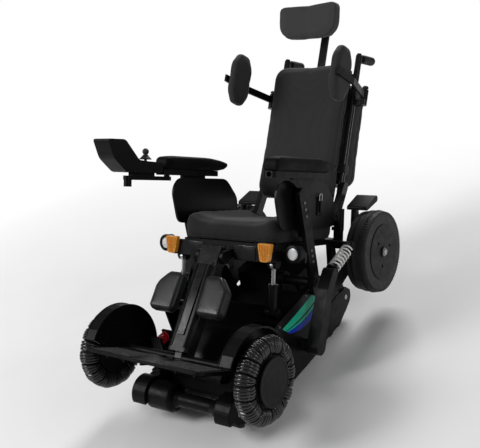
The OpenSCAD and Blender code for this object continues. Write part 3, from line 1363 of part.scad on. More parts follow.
chassis_frame();
side_covers();
front_cowl();
battery_pack();
track_frames();
track_belts();
track_sprockets();
track_idlers();
tilt_cylinders();
tilt_rods();
front_arm(true);  // front_arm_left
front_arm(false);  // front_arm_right
front_fender(true);  // front_fender_left
front_fender(false);  // front_fender_right
front_hub(true);  // front_hub_left
front_hub(false);  // front_hub_right
front_rollers(true);  // front_rollers_left
front_rollers(false);  // front_rollers_right
front_spring(true);  // front_spring_left
front_spring(false);  // front_spring_right
rear_lever(true);  // rear_lever_left
rear_lever(false);  // rear_lever_right
rear_arm(true);  // rear_arm_left
rear_arm(false);  // rear_arm_right
rear_disc(true);  // rear_disc_left
rear_disc(false);  // rear_disc_right
rear_tyre(true);  // rear_tyre_left
rear_tyre(false);  // rear_tyre_right
rear_spring(true);  // rear_spring_left
rear_spring(false);  // rear_spring_right
seat_frame();
front_beam();
headlights();
headlight_lenses();
turn_lamps();
seat_cushion();
side_guards();
arm_left();
arm_right();
arm_pad_left();
arm_pad_right();
swing_bracket();
controller_box();
joystick_gimbal();
joystick();
power_button();
backrest_frame();
backrest_cushion();
hand_grips();
bag();
headrest_mast();
headrest_pad();
lateral_arm(true);  // lateral_arm_left
lateral_arm(false);  // lateral_arm_right
lateral_pad(true);  // lateral_pad_left
lateral_pad(false);  // lateral_pad_right
leg_column();
calf_pads();
footplate();
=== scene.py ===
"""Stair climbing wheelchair: finishes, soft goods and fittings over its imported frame."""

from __future__ import annotations

import json
import logging
import math
from dataclasses import dataclass, field
from enum import Enum
from typing import Callable, Sequence

import bpy
from mathutils import Matrix, Vector

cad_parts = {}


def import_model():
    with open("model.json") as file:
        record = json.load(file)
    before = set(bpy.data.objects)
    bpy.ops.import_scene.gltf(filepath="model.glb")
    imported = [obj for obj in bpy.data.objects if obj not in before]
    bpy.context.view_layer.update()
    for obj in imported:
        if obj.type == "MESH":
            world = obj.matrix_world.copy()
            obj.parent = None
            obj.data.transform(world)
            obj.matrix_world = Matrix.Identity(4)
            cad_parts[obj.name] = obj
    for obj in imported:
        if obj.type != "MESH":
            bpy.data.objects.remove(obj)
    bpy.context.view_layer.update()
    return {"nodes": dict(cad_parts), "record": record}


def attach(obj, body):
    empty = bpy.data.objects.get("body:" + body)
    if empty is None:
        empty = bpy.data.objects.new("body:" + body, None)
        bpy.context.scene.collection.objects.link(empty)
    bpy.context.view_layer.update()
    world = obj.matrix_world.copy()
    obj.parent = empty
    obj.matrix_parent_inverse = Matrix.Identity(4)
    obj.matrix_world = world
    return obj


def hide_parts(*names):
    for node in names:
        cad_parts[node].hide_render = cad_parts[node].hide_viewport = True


LOG = logging.getLogger("wheelchair")
MM = 0.001
# Radians that a wave texture of scale 1 turns through in a metre
WAVE_RATE = 20.0
# Sockets of the mix node that mix colours
MIX_SHARE = 0
MIX_COLOURS = (6, 7)
MIX_RESULT = 2
Pair = tuple[float, float]
Triple = tuple[float, float, float]
Points = tuple[Pair, ...]
Colour = Triple
Outline = list[Pair]
Socket = bpy.types.NodeSocket
Piece = bpy.types.Object


class Part(Enum):
    """Kind of mesh element that a selection takes."""

    VERT = "VERT"
    EDGE = "EDGE"
    FACE = "FACE"


class Seen(Enum):
    """Plane in which an outline is drawn, and the way its thickness goes."""

    TOP = Matrix.Identity(4)
    SIDE = Matrix(((0, 0, 1, 0), (1, 0, 0, 0), (0, 1, 0, 0), (0, 0, 0, 1)))
    FRONT = Matrix(((1, 0, 0, 0), (0, 0, -1, 0), (0, 1, 0, 0), (0, 0, 0, 1)))


def shift(x: float, y: float, z: float) -> Matrix:
    """Move by millimetres."""
    return Matrix.Translation(Vector((x, y, z)) * MM)


def turn(degrees: float, axis: str) -> Matrix:
    """Turn about an axis through the origin."""
    return Matrix.Rotation(math.radians(degrees), 4, axis)


@dataclass(frozen=True)
class Stations:
    """Frames of the chair's units at rest, in which their sizes are written."""

    axle_y: float = -544.8
    seat_at: Pair = (433.0, 301.0)
    seat_tilt: float = -24.0
    back_at: Pair = (262.0, 190.0)
    recline: float = -12.7
    head_at: Pair = (-40.0, 754.0)
    leg_at: Pair = (-225.0, 82.0)
    leg_drop: float = -27.0
    foot_z: float = -346.0
    foot_turn: float = 18.5

    def chassis(self) -> Matrix:
        """Chassis, from the front axle at floor height."""
        return shift(0, self.axle_y, 0)

    def seat(self) -> Matrix:
        """Seat, from its tilt axis."""
        return self.chassis() @ shift(0, *self.seat_at) @ turn(self.seat_tilt, "X")

    def back(self) -> Matrix:
        """Backrest, from its recline axis."""
        return self.seat() @ shift(0, *self.back_at) @ turn(self.recline, "X")

    def head(self) -> Matrix:
        """Headrest, from its tilt axis."""
        return self.back() @ shift(0, *self.head_at) @ turn(-self.recline, "X")

    def leg(self) -> Matrix:
        """Leg rest, from its raising axis."""
        return self.seat() @ shift(0, *self.leg_at) @ turn(self.leg_drop, "X")

    def foot(self) -> Matrix:
        """Footplate, from its flip axis."""
        return self.leg() @ shift(0, 0, self.foot_z) @ turn(self.foot_turn, "X")


AT = Stations()


class NodeSketch:
    """A material's node tree, drawn one node at a time."""

    edge_rays: int = 4
    rub_patches: float = 60.0
    rub_range: Pair = (0.15, 0.6)

    def __init__(self, name: str) -> None:
        """Start a material with one shader.

        Args:
            name: Name of the material.
        """
        self.material = bpy.data.materials.new(name)
        self.material.use_nodes = True
        self.tree = self.material.node_tree
        self.tree.nodes.clear()
        self.shader = self.add("ShaderNodeBsdfPrincipled")
        self.out = self.add("ShaderNodeOutputMaterial")
        self.link(self.shader.outputs["BSDF"], self.out.inputs["Surface"])
        self.coords = self.add("ShaderNodeTexCoord").outputs["Object"]

    def add(self, kind: str, **settings: object) -> bpy.types.Node:
        """Add a node.

        Args:
            kind: Node type.
            settings: Attributes to set on it.

        Returns:
            The new node.
        """
        node = self.tree.nodes.new(kind)
        for key, value in settings.items():
            setattr(node, key, value)
        return node

    def link(self, source: Socket, target: Socket) -> None:
        """Join two sockets."""
        self.tree.links.new(source, target)

    def put(self, values: dict[str, object]) -> None:
        """Set plain values on the shader's own sockets."""
        for key, value in values.items():
            self.shader.inputs[key].default_value = value

    def paint(self, colour: Socket) -> None:
        """Give the shader its colour."""
        self.link(colour, self.shader.inputs["Base Color"])

    def polish(self, patches: Socket, roughness: float, drift: Pair) -> None:
        """Let the shader's roughness drift.

        Args:
            patches: Where it is smoother and rougher.
            roughness: Its middle.
            drift: How far it goes down and up from there.
        """
        low, high = drift
        self.link(self.spread(patches, roughness + low, roughness + high), self.shader.inputs["Roughness"])

    def mapped(self, scale: Sequence[float], lean: float = 0.0) -> Socket:
        """Object coordinates, turned about X and stretched.

        Args:
            scale: Stretch along each axis.
            lean: Turn about X in degrees.

        Returns:
            The mapped vector.
        """
        flat = self.add("ShaderNodeMapping")
        flat.inputs["Rotation"].default_value = (math.radians(lean), 0, 0)
        flat.inputs["Scale"].default_value = tuple(scale)
        self.link(self.coords, flat.inputs["Vector"])
        return flat.outputs["Vector"]

    def noise(self, scale: float, detail: float = 3.0, vector: Socket | None = None) -> Socket:
        """Soft noise.

        Args:
            scale: Waves a metre.
            detail: Octaves.
            vector: Coordinates, or the object's own.

        Returns:
            The grey value.
        """
        node = self.add("ShaderNodeTexNoise")
        node.inputs["Scale"].default_value = scale
        node.inputs["Detail"].default_value = detail
        self.link(vector or self.coords, node.inputs["Vector"])
        return node.outputs["Fac"]

    def cells(self, scale: float) -> Socket:
        """Cell distance, for pebbled grain."""
        node = self.add("ShaderNodeTexVoronoi", feature="SMOOTH_F1")
        node.inputs["Scale"].default_value = scale
        self.link(self.coords, node.inputs["Vector"])
        return node.outputs["Distance"]

    def bands(self, axis: str, pitch: float, vector: Socket) -> Socket:
        """Even ridges along an axis.

        Args:
            axis: Axis that the ridges follow each other on.
            pitch: Spacing in metres.
            vector: Coordinates.

        Returns:
            The ridge height.
        """
        node = self.add("ShaderNodeTexWave", bands_direction=axis)
        node.inputs["Scale"].default_value = math.tau / (WAVE_RATE * pitch)
        self.link(vector, node.inputs["Vector"])
        return node.outputs["Fac"]

    def math(self, operation: str, first: Socket, second: Socket | float) -> Socket:
        """Combine two values."""
        node = self.add("ShaderNodeMath", operation=operation)
        self.link(first, node.inputs[0])
        if isinstance(second, float):
            node.inputs[1].default_value = second
        else:
            self.link(second, node.inputs[1])
        return node.outputs[0]

    def spread(self, value: Socket, low: float, high: float, start: float = 0.3, end: float = 0.7) -> Socket:
        """Stretch a value to a range.

        Args:
            value: Value to stretch.
            low: Result at the start.
            high: Result at the end.
            start: Value that gives low.
            end: Value that gives high.

        Returns:
            The stretched value.
        """
        node = self.add("ShaderNodeMapRange")
        for key, number in (("From Min", start), ("From Max", end), ("To Min", low), ("To Max", high)):
            node.inputs[key].default_value = number
        self.link(value, node.inputs["Value"])
        return node.outputs["Result"]

    def blend(self, share: Socket, first: Colour | Socket, second: Colour | Socket) -> Socket:
        """Mix two colours.

        Args:
            share: How much of the second shows.
            first: Colour or socket.
            second: Colour or socket.

        Returns:
            The mixed colour.
        """
        node = self.add("ShaderNodeMix", data_type="RGBA")
        self.link(share, node.inputs[MIX_SHARE])
        for slot, value in zip(MIX_COLOURS, (first, second)):
            if isinstance(value, tuple):
                node.inputs[slot].default_value = (*value, 1)
            else:
                self.link(value, node.inputs[slot])
        return node.outputs[MIX_RESULT]

    def soft_edges(self, radius: float) -> Socket:
        """Normal that rounds sharp edges over a radius."""
        node = self.add("ShaderNodeBevel", samples=self.edge_rays)
        node.inputs["Radius"].default_value = radius
        return node.outputs["Normal"]

    def rubbed(self, normal: Socket, reach: float) -> Socket:
        """Mask of the edges that hands and use rub bright.

        Args:
            normal: Rounded normal.
            reach: Bend at which an edge is fully rubbed.

        Returns:
            The mask, broken up by noise.
        """
        true = self.add("ShaderNodeNewGeometry").outputs["True Normal"]
        dot = self.add("ShaderNodeVectorMath", operation="DOT_PRODUCT")
        self.link(normal, dot.inputs[0])
        self.link(true, dot.inputs[1])
        edge = self.spread(dot.outputs["Value"], 1.0, 0.0, 1.0 - reach, 1.0)
        return self.math("MULTIPLY", edge, self.spread(self.noise(self.rub_patches), *self.rub_range))

    def relief(self, height: Socket, depth: float, normal: Socket | None = None) -> None:
        """Raise the surface by a height.

        Args:
            height: Height from 0 to 1.
            depth: Full height in metres.
            normal: Normal to start from.
        """
        node = self.add("ShaderNodeBump")
        node.inputs["Strength"].default_value = 1.0
        node.inputs["Distance"].default_value = depth
        self.link(height, node.inputs["Height"])
        if normal is not None:
            self.link(normal, node.inputs["Normal"])
        self.link(node.outputs["Normal"], self.shader.inputs["Normal"])


def shade(colour: Colour, factor: float) -> Colour:
    """A lighter or darker tone of a colour."""
    return tuple(min(1.0, c * factor) for c in colour)


@dataclass(frozen=True)
class Finish:
    """A surface finish with a name and a colour."""

    name: str
    colour: Colour

    def material(self) -> bpy.types.Material:
        """The finish's material, drawn on its first use."""
        found = bpy.data.materials.get(self.name)
        return found if found else self.draw(NodeSketch(self.name))

    def draw(self, sketch: NodeSketch) -> bpy.types.Material:
        """Draw the nodes.

        Args:
            sketch: Empty sketch.

        Returns:
            The material.
        """
        raise NotImplementedError

    def tone(self, sketch: NodeSketch, scale: float, reach: float) -> Socket:
        """Colour that drifts lighter and darker across the surface.

        Args:
            sketch: Sketch to draw in.
            scale: Patches a metre.
            reach: How far the tone drifts.

        Returns:
            The colour.
        """
        patches = sketch.spread(sketch.noise(scale), 0.0, 1.0)
        return sketch.blend(patches, shade(self.colour, 1 - reach), shade(self.colour, 1 + reach))


@dataclass(frozen=True)
class MouldedPlastic(Finish):
    """Moulded plastic with a fine grain and lightly rubbed edges."""

    roughness: float = 0.45
    grain: float = 0.00012
    coat: float = 0.0
    rub: float = 2.4
    edge: float = 1.4 * MM
    edge_bend: float = 0.25
    tone_patches: float = 9.0
    tone_drift: float = 0.18
    shine_patches: float = 26.0
    shine_drift: Pair = (-0.06, 0.08)
    coat_roughness: float = 0.3
    gloss: float = 0.1
    grains: float = 900.0

    def draw(self, sketch: NodeSketch) -> bpy.types.Material:
        """Draw the grain, the patches of shine and the rubbed edges."""
        normal = sketch.soft_edges(self.edge)
        edges = sketch.rubbed(normal, self.edge_bend)
        tone = self.tone(sketch, self.tone_patches, self.tone_drift)
        sketch.paint(sketch.blend(edges, tone, shade(self.colour, self.rub)))
        sketch.polish(sketch.noise(self.shine_patches), self.roughness, self.shine_drift)
        sketch.put({"Coat Weight": self.coat, "Coat Roughness": self.coat_roughness,
                    "Specular IOR Level": self.gloss})
        sketch.relief(sketch.cells(self.grains), self.grain, normal)
        return sketch.material


@dataclass(frozen=True)
class CoatedMetal(Finish):
    """Powder-coated metal with an orange-peel skin and edges rubbed to the metal."""

    roughness: float = 0.42
    metallic: float = 0.35
    rub: float = 3.0
    edge: float = 1.2 * MM
    edge_bend: float = 0.22
    tone_patches: float = 12.0
    tone_drift: float = 0.15
    shine_patches: float = 40.0
    shine_drift: Pair = (-0.07, 0.09)
    gloss: float = 0.16
    peel: float = 520.0
    peel_depth: float = 0.00016

    def draw(self, sketch: NodeSketch) -> bpy.types.Material:
        """Draw the coat's skin, its patches and its worn edges."""
        normal = sketch.soft_edges(self.edge)
        edges = sketch.rubbed(normal, self.edge_bend)
        tone = self.tone(sketch, self.tone_patches, self.tone_drift)
        sketch.paint(sketch.blend(edges, tone, shade(self.colour, self.rub)))
        sketch.polish(sketch.noise(self.shine_patches), self.roughness, self.shine_drift)
        sketch.put({"Metallic": self.metallic, "Specular IOR Level": self.gloss})
        sketch.relief(sketch.noise(self.peel, detail=1.0), self.peel_depth, normal)
        return sketch.material


@dataclass(frozen=True)
class BrushedMetal(Finish):
    """Bare metal with fine turning marks."""

    roughness: float = 0.3
    stretch: Triple = (1.0, 14.0, 14.0)
    edge: float = 0.8 * MM
    marks: float = 90.0
    marks_detail: float = 4.0
    marks_depth: float = 0.00005
    tones: Pair = (0.82, 1.12)
    shine_drift: Pair = (-0.08, 0.12)
    metallic: float = 0.9

    def draw(self, sketch: NodeSketch) -> bpy.types.Material:
        """Draw marks that run along the X axis, and a drifting tone."""
        marks = sketch.noise(self.marks, self.marks_detail, sketch.mapped(self.stretch))
        dark, light = (shade(self.colour, tone) for tone in self.tones)
        sketch.paint(sketch.blend(sketch.spread(marks, 0.0, 1.0), dark, light))
        sketch.polish(marks, self.roughness, self.shine_drift)
        sketch.put({"Metallic": self.metallic})
        sketch.relief(marks, self.marks_depth, sketch.soft_edges(self.edge))
        return sketch.material


@dataclass(frozen=True)
class Rubber(Finish):
    """Rubber with a fine skin and patches of dust."""

    roughness: float = 0.62
    dust: Colour = (0.09, 0.088, 0.085)
    dust_share: float = 0.12
    gloss: float = 0.5
    edge: float = 1.0 * MM
    dust_patches: float = 34.0
    dust_detail: float = 5.0
    dust_from: Pair = (0.45, 0.8)
    tone_patches: float = 14.0
    tone_drift: float = 0.2
    shine_patches: float = 70.0
    shine_drift: Pair = (-0.08, 0.1)
    skin: float = 800.0
    skin_detail: float = 2.0
    skin_depth: float = 0.00018

    def draw(self, sketch: NodeSketch) -> bpy.types.Material:
        """Draw the skin and the dust."""
        clouds = sketch.noise(self.dust_patches, self.dust_detail)
        film = sketch.spread(clouds, 0.0, self.dust_share, *self.dust_from)
        sketch.paint(sketch.blend(film, self.tone(sketch, self.tone_patches, self.tone_drift), self.dust))
        sketch.polish(sketch.noise(self.shine_patches), self.roughness, self.shine_drift)
        sketch.put({"Specular IOR Level": self.gloss})
        skin = sketch.noise(self.skin, self.skin_detail)
        sketch.relief(skin, self.skin_depth, sketch.soft_edges(self.edge))
        return sketch.material


@dataclass(frozen=True)
class WovenCloth(Finish):
    """Upholstery cloth woven from two tones of thread."""

    pitch: float = 1.0 * MM
    lean: float = 0.0
    sheen: float = 0.12
    sheen_roughness: float = 0.45
    gloss: float = 0.3
    thread_share: float = 0.34
    thread_patches: float = 420.0
    thread_range: Pair = (0.55, 1.25)
    thread_tones: Pair = (0.92, 1.08)
    worn_patches: float = 7.0
    worn_share: float = 0.22
    worn_tone: float = 1.4
    rough_range: Pair = (0.88, 0.8)
    nap: float = 750.0
    nap_detail: float = 2.0
    nap_depth: float = 0.00009

    def draw(self, sketch: NodeSketch) -> bpy.types.Material:
        """Draw the threads on every face, their mixed tones, the nap and the sheen."""
        grid = sketch.mapped((1, 1, 1), -self.lean)
        warp = sketch.bands("X", self.pitch, grid)
        weft = sketch.math("ADD", sketch.bands("Y", self.pitch, grid), sketch.bands("Z", self.pitch, grid))
        height = sketch.math("MULTIPLY", sketch.math("ADD", warp, weft), self.thread_share)
        uneven = sketch.spread(sketch.noise(self.thread_patches, self.nap_detail), *self.thread_range)
        threads = sketch.math("MULTIPLY", height, uneven)
        dark, light = (shade(self.colour, tone) for tone in self.thread_tones)
        worn = sketch.spread(sketch.noise(self.worn_patches), 0.0, self.worn_share)
        weave = sketch.blend(threads, dark, light)
        sketch.paint(sketch.blend(worn, weave, shade(self.colour, self.worn_tone)))
        rough = sketch.spread(height, *self.rough_range, 0.0, 1.0)
        sketch.link(rough, sketch.shader.inputs["Roughness"])
        sketch.put({"Sheen Weight": self.sheen, "Sheen Roughness": self.sheen_roughness,
                    "Specular IOR Level": self.gloss})
        sketch.relief(sketch.noise(self.nap, self.nap_detail), self.nap_depth)
        return sketch.material


@dataclass(frozen=True)
class SoftSkin(Finish):
    """Moulded foam skin with a pebbled grain."""

    roughness: float = 0.5
    gloss: float = 0.24
    pebbles: float = 620.0
    pebble_depth: float = 0.00025
    tone_patches: float = 11.0
    tone_drift: float = 0.25
    shine_patches: float = 16.0
    shine_drift: Pair = (-0.1, 0.1)
    sheen: float = 0.02

    def draw(self, sketch: NodeSketch) -> bpy.types.Material:
        """Draw the pebbles, the polished patches and the tone."""
        sketch.paint(self.tone(sketch, self.tone_patches, self.tone_drift))
        sketch.polish(sketch.noise(self.shine_patches), self.roughness, self.shine_drift)
        sketch.put({"Sheen Weight": self.sheen, "Specular IOR Level": self.gloss})
        sketch.relief(sketch.cells(self.pebbles), self.pebble_depth)
        return sketch.material


@dataclass(frozen=True)
class GlossPaint(Finish):
    """Paint under a clear coat, with a faint ripple."""

    roughness: float = 0.3
    coat: float = 0.05
    coat_roughness: float = 0.08
    gloss: float = 0.25
    tone_patches: float = 22.0
    tone_drift: float = 0.1
    shine_patches: float = 50.0
    shine_drift: Pair = (-0.05, 0.1)
    ripple: float = 260.0
    ripple_depth: float = 0.00008

    def draw(self, sketch: NodeSketch) -> bpy.types.Material:
        """Draw the ripple and the drifting tone."""
        sketch.paint(self.tone(sketch, self.tone_patches, self.tone_drift))
        sketch.polish(sketch.noise(self.shine_patches), self.roughness, self.shine_drift)
        sketch.put({"Coat Weight": self.coat, "Coat Roughness": self.coat_roughness,
                    "Specular IOR Level": self.gloss})
        sketch.relief(sketch.noise(self.ripple, detail=1.0), self.ripple_depth)
        return sketch.material


@dataclass(frozen=True)
class LampLens(Finish):
    """Lens plastic that lets part of the light through."""

    through: float = 0.3
    roughness: float = 0.12
    tone_patches: float = 45.0
    tone_drift: float = 0.08
    haze_patches: float = 120.0
    haze_drift: Pair = (0.0, 0.12)
    bending: float = 1.49
    coat: float = 0.4
    ripple: float = 300.0
    ripple_depth: float = 0.00006

    def draw(self, sketch: NodeSketch) -> bpy.types.Material:
        """Draw the tint's drift and the haze of dust."""
        sketch.paint(self.tone(sketch, self.tone_patches, self.tone_drift))
        sketch.polish(sketch.noise(self.haze_patches), self.roughness, self.haze_drift)
        sketch.put({"Transmission Weight": self.through, "IOR": self.bending, "Coat Weight": self.coat})
        sketch.relief(sketch.noise(self.ripple, detail=1.0), self.ripple_depth)
        return sketch.material


TUB = MouldedPlastic("tub_plastic_grained", (0.005, 0.005, 0.0055), 0.46)
COVER = MouldedPlastic("cover_plastic_gloss", (0.004, 0.004, 0.0045), 0.34, 0.00005, 0.07, 3.0)
FRAME = CoatedMetal("frame_powder_coat", (0.0045, 0.0045, 0.005), 0.42)
LEVER = CoatedMetal("lever_powder_coat", (0.008, 0.008, 0.0086), 0.46, 0.2)
DISC = CoatedMetal("wheel_disc_satin", (0.006, 0.006, 0.0064), 0.44, 0.08, 2.0)
STEEL = BrushedMetal("turned_steel", (0.45, 0.45, 0.47))
STRUT = CoatedMetal("strut_black_paint", (0.006, 0.006, 0.0065), 0.3, 0.2)
TUBE = CoatedMetal("back_tube_gloss", (0.03, 0.03, 0.032), 0.2, 0.55)
COLUMN = CoatedMetal("column_satin_paint", (0.017, 0.017, 0.018), 0.26, 0.3)
BELT = Rubber("track_belt_rubber", (0.011, 0.011, 0.0115), 0.66)
ROLLER = Rubber("roller_rubber_satin", (0.016, 0.016, 0.0166), 0.17, (0.06, 0.06, 0.06), 0.06)
TYRE = Rubber("tyre_rubber_grey", (0.03, 0.03, 0.0312), 0.5, gloss=0.15)
RED = GlossPaint("spring_red_paint", (0.56, 0.012, 0.03))
WHITE = GlossPaint("spring_white_paint", (0.8, 0.8, 0.78))
LAMP = MouldedPlastic("lamp_body_black", (0.005, 0.005, 0.0055), 0.36)
LENS = LampLens("headlight_lens", (0.74, 0.76, 0.78), 0.1, 0.14)
AMBER = LampLens("turn_lamp_amber", (0.74, 0.29, 0.03), 0.1, 0.2)
CLOTH = WovenCloth("back_cloth_woven", (0.026, 0.0254, 0.0265), lean=AT.seat_tilt + AT.recline)
# The seat's copy of the back's cloth, made darker as painted shade
SEAT_CLOTH_SHADED = WovenCloth("seat_cloth_shaded_copy", (0.013, 0.0127, 0.0135), lean=AT.seat_tilt)
# The head's copy of the back's cloth, made lighter as painted light
HEAD_CLOTH_LIT = WovenCloth("head_cloth_lit_copy", (0.045, 0.0445, 0.0455), lean=AT.seat_tilt)
CALF_SKIN = SoftSkin("calf_pad_skin", (0.016, 0.016, 0.017), 0.32)
ARM_SKIN = SoftSkin("arm_pad_skin", (0.0035, 0.0035, 0.0038), 0.5, 0.06)
GRIP = Rubber("grip_rubber_black", (0.008, 0.008, 0.008), 0.6)
BOX = MouldedPlastic("control_box_plastic", (0.006, 0.006, 0.0065), 0.38)
GREEN = GlossPaint("stripe_green_paint", (0.008, 0.42, 0.26), 0.42)
BLUE = GlossPaint("stripe_blue_paint", (0.004, 0.03, 0.42), 0.42)
GLASS = GlossPaint("display_glass", (0.006, 0.0065, 0.008), 0.1)
BOLT = BrushedMetal("bolt_steel_dark", (0.2, 0.2, 0.21), 0.34)

SLOT_FINISH: dict[str, Finish] = {
    "tub_plastic": TUB,
    "cover_gloss": COVER,
    "frame_metal": FRAME,
    "lever_metal": LEVER,
    "disc_metal": DISC,
    "steel": STEEL,
    "strut_black": STRUT,
    "belt_rubber": BELT,
    "roller_rubber": ROLLER,
    "tyre_rubber": TYRE,
    "spring_red": RED,
    "spring_white": WHITE,
    "lamp_black": LAMP,
    "lens_white": LENS,
    "lamp_amber": AMBER,
    "fabric": CLOTH,
    "pad_black": ARM_SKIN,
    "grip_rubber": GRIP,
    "box_plastic": BOX,
}
NODE_FINISH: dict[str, Finish] = {"backrest_frame": TUBE, "headrest_mast": TUBE, "leg_column": COLUMN}


class Workshop:
    """Hand operations that every unit uses."""

    block_steps: int = 3
    wire_sides: int = 14
    turn_steps: int = 40
    weld: float = 0.001 * MM
    flat: float = 0.5
    short_line: int = 20

    def idle(self) -> None:
        """Leave edit mode and drop the selection."""
        if bpy.context.mode != "OBJECT":
            bpy.ops.object.mode_set(mode="OBJECT")
        bpy.ops.object.select_all(action="DESELECT")

    def take(self, piece: Piece) -> Piece:
        """Select one piece and make it active."""
        self.idle()
        piece.select_set(True)
        bpy.context.view_layer.objects.active = piece
        return piece

    def pick(self, piece: Piece, part: Part, test: Callable[[Vector, Vector], bool]) -> None:
        """Open a piece in edit mode with some of its elements selected.

        Args:
            piece: Piece to open.
            part: Kind of element.
            test: Takes an element's middle and its normal or direction.
        """
        self.take(piece)
        bpy.ops.object.mode_set(mode="EDIT")
        bpy.ops.mesh.select_mode(type=part.value)
        bpy.ops.mesh.select_all(action="DESELECT")
        bpy.ops.object.mode_set(mode="OBJECT")
        mesh = piece.data
        if part is Part.FACE:
            for face in mesh.polygons:
                face.select = test(face.center, face.normal)
        elif part is Part.VERT:
            for vert in mesh.vertices:
                vert.select = test(vert.co, vert.normal)
        else:
            for edge in mesh.edges:
                start, end = (mesh.vertices[i].co for i in edge.vertices)
                edge.select = test((start + end) / 2, (end - start).normalized())
        bpy.ops.object.mode_set(mode="EDIT")

    def close(self) -> Piece:
        """Leave edit mode and return the active piece."""
        bpy.ops.object.mode_set(mode="OBJECT")
        return bpy.context.object

    def named(self, name: str) -> Piece:
        """Name the active piece and its mesh."""
        piece = bpy.context.object
        piece.name = name
        piece.data.name = name
        return piece

    def block(self, name: str, low: Sequence[float], high: Sequence[float], bevel: float) -> Piece:
        """A box with rounded edges.

        Args:
            name: Piece name.
            low: Lowest corner in millimetres.
            high: Highest corner in millimetres.
            bevel: Edge rounding in millimetres.

        Returns:
            The piece.
        """
        self.idle()
        start, end = Vector(low) * MM, Vector(high) * MM
        bpy.ops.mesh.primitive_cube_add(size=1, location=(start + end) / 2, scale=end - start)
        bpy.ops.object.transform_apply(location=True, rotation=False, scale=True)
        bpy.ops.object.mode_set(mode="EDIT")
        bpy.ops.mesh.select_all(action="SELECT")
        bpy.ops.mesh.bevel(offset=bevel * MM, segments=self.block_steps, affect="EDGES")
        self.close()
        return self.named(name)

    def plate(self, name: str, outline: Outline, low: float, high: float, bevel: float = 0.0,
              steps: int = 3) -> Piece:
        """A plate of an outline, with rounded rims.

        Args:
            name: Piece name.
            outline: Corners in millimetres, in turn.
            low: Where the thickness starts.
            high: Where the thickness ends.
            bevel: Rim rounding in millimetres.
            steps: Segments of the rounding.

        Returns:
            The piece, drawn in its local XY plane.
        """
        self.idle()
        bpy.ops.mesh.primitive_circle_add(vertices=len(outline), fill_type="NGON")
        piece = self.named(name)
        for vert, (x, y) in zip(piece.data.vertices, outline):
            vert.co = Vector((x, y, low)) * MM
        bpy.ops.object.mode_set(mode="EDIT")
        bpy.ops.mesh.select_all(action="SELECT")
        bpy.ops.mesh.extrude_region_move(TRANSFORM_OT_translate={"value": (0, 0, (high - low) * MM)})
        bpy.ops.mesh.select_all(action="SELECT")
        bpy.ops.mesh.normals_make_consistent(inside=False)
        self.close()
        if bevel:
            self.pick(piece, Part.EDGE, lambda middle, way: abs(way.z) < self.flat)
            bpy.ops.mesh.bevel(offset=bevel * MM, segments=steps, affect="EDGES", clamp_overlap=True)
            self.close()
        return piece

    def lathe(self, name: str, profile: Outline, steps: int = 48) -> Piece:
        """A turned piece about the local Z axis.

        Args:
            name: Piece name.
            profile: Radius and height in millimetres, in turn.
            steps: Faces round.

        Returns:
            The piece.
        """
        self.idle()
        bpy.ops.mesh.primitive_plane_add(size=MM)
        piece = self.named(name)
        bpy.ops.object.mode_set(mode="EDIT")
        bpy.ops.mesh.select_mode(type=Part.VERT.value)
        bpy.ops.mesh.select_all(action="SELECT")
        bpy.ops.mesh.merge(type="CENTER")
        here = Vector((0, 0, 0))
        for step, (radius, height) in enumerate(profile):
            spot = Vector((radius, 0, height)) * MM
            if step:
                bpy.ops.mesh.extrude_vertices_move(TRANSFORM_OT_translate={"value": spot - here})
            else:
                bpy.ops.transform.translate(value=spot - here)
            here = spot
        bpy.ops.mesh.select_all(action="SELECT")
        bpy.ops.mesh.spin(steps=steps, angle=math.tau, center=(0, 0, 0), axis=(0, 0, 1))
        bpy.ops.mesh.select_all(action="SELECT")
        bpy.ops.mesh.remove_doubles(threshold=self.weld)
        bpy.ops.mesh.normals_make_consistent(inside=False)
        self.close()
        return piece

    def tube(self, name: str, lines: Sequence[Sequence[Vector]], radius: float, closed: bool = False,
             fine: int = 2) -> Piece:
        """Round tubes along lines, as one mesh.

        Args:
            name: Piece name.
            lines: Points of each line in metres.
            radius: Tube radius in metres.
            closed: Whether each line joins up.
            fine: Fineness of the round.

        Returns:
            The piece.
        """
        self.idle()
        curve = bpy.data.curves.new(name, "CURVE")
        curve.dimensions = "3D"
        curve.bevel_depth = radius
        curve.bevel_resolution = fine
        curve.use_fill_caps = True
        for line in lines:
            spline = curve.splines.new("POLY")
            spline.points.add(len(line) - 1)
            for point, spot in zip(spline.points, line):
                point.co = (*spot, 1)
            spline.use_cyclic_u = closed
        piece = bpy.data.objects.new(name, curve)
        bpy.context.scene.collection.objects.link(piece)
        self.take(piece)
        bpy.ops.object.convert(target="MESH")
        return self.named(name)

    def coil(self, name: str, radius: float, wire: float, length: float, turns: float) -> Piece:
        """A spring along the local Z axis.

        Args:
            name: Piece name.
            radius: Coil radius at the wire's middle, in millimetres.
            wire: Wire radius.
            length: Length over the wire.
            turns: Number of turns.

        Returns:
            The piece.
        """
        self.idle()
        bpy.ops.mesh.primitive_circle_add(
            vertices=self.wire_sides, radius=wire * MM, location=(radius * MM, 0, wire * MM),
            rotation=(math.pi / 2, 0, 0))
        bpy.ops.object.transform_apply(location=True, rotation=True, scale=True)
        piece = self.named(name)
        screw = piece.modifiers.new("winding", "SCREW")
        screw.axis = "Z"
        screw.angle = math.tau * turns
        screw.screw_offset = (length - 2 * wire) * MM
        screw.steps = screw.render_steps = int(self.turn_steps * turns)
        bpy.ops.object.modifier_apply(modifier=screw.name)
        bpy.ops.object.mode_set(mode="EDIT")
        bpy.ops.mesh.select_all(action="SELECT")
        bpy.ops.mesh.fill_holes(sides=0)
        bpy.ops.mesh.select_all(action="SELECT")
        bpy.ops.mesh.normals_make_consistent(inside=False)
        return self.close()

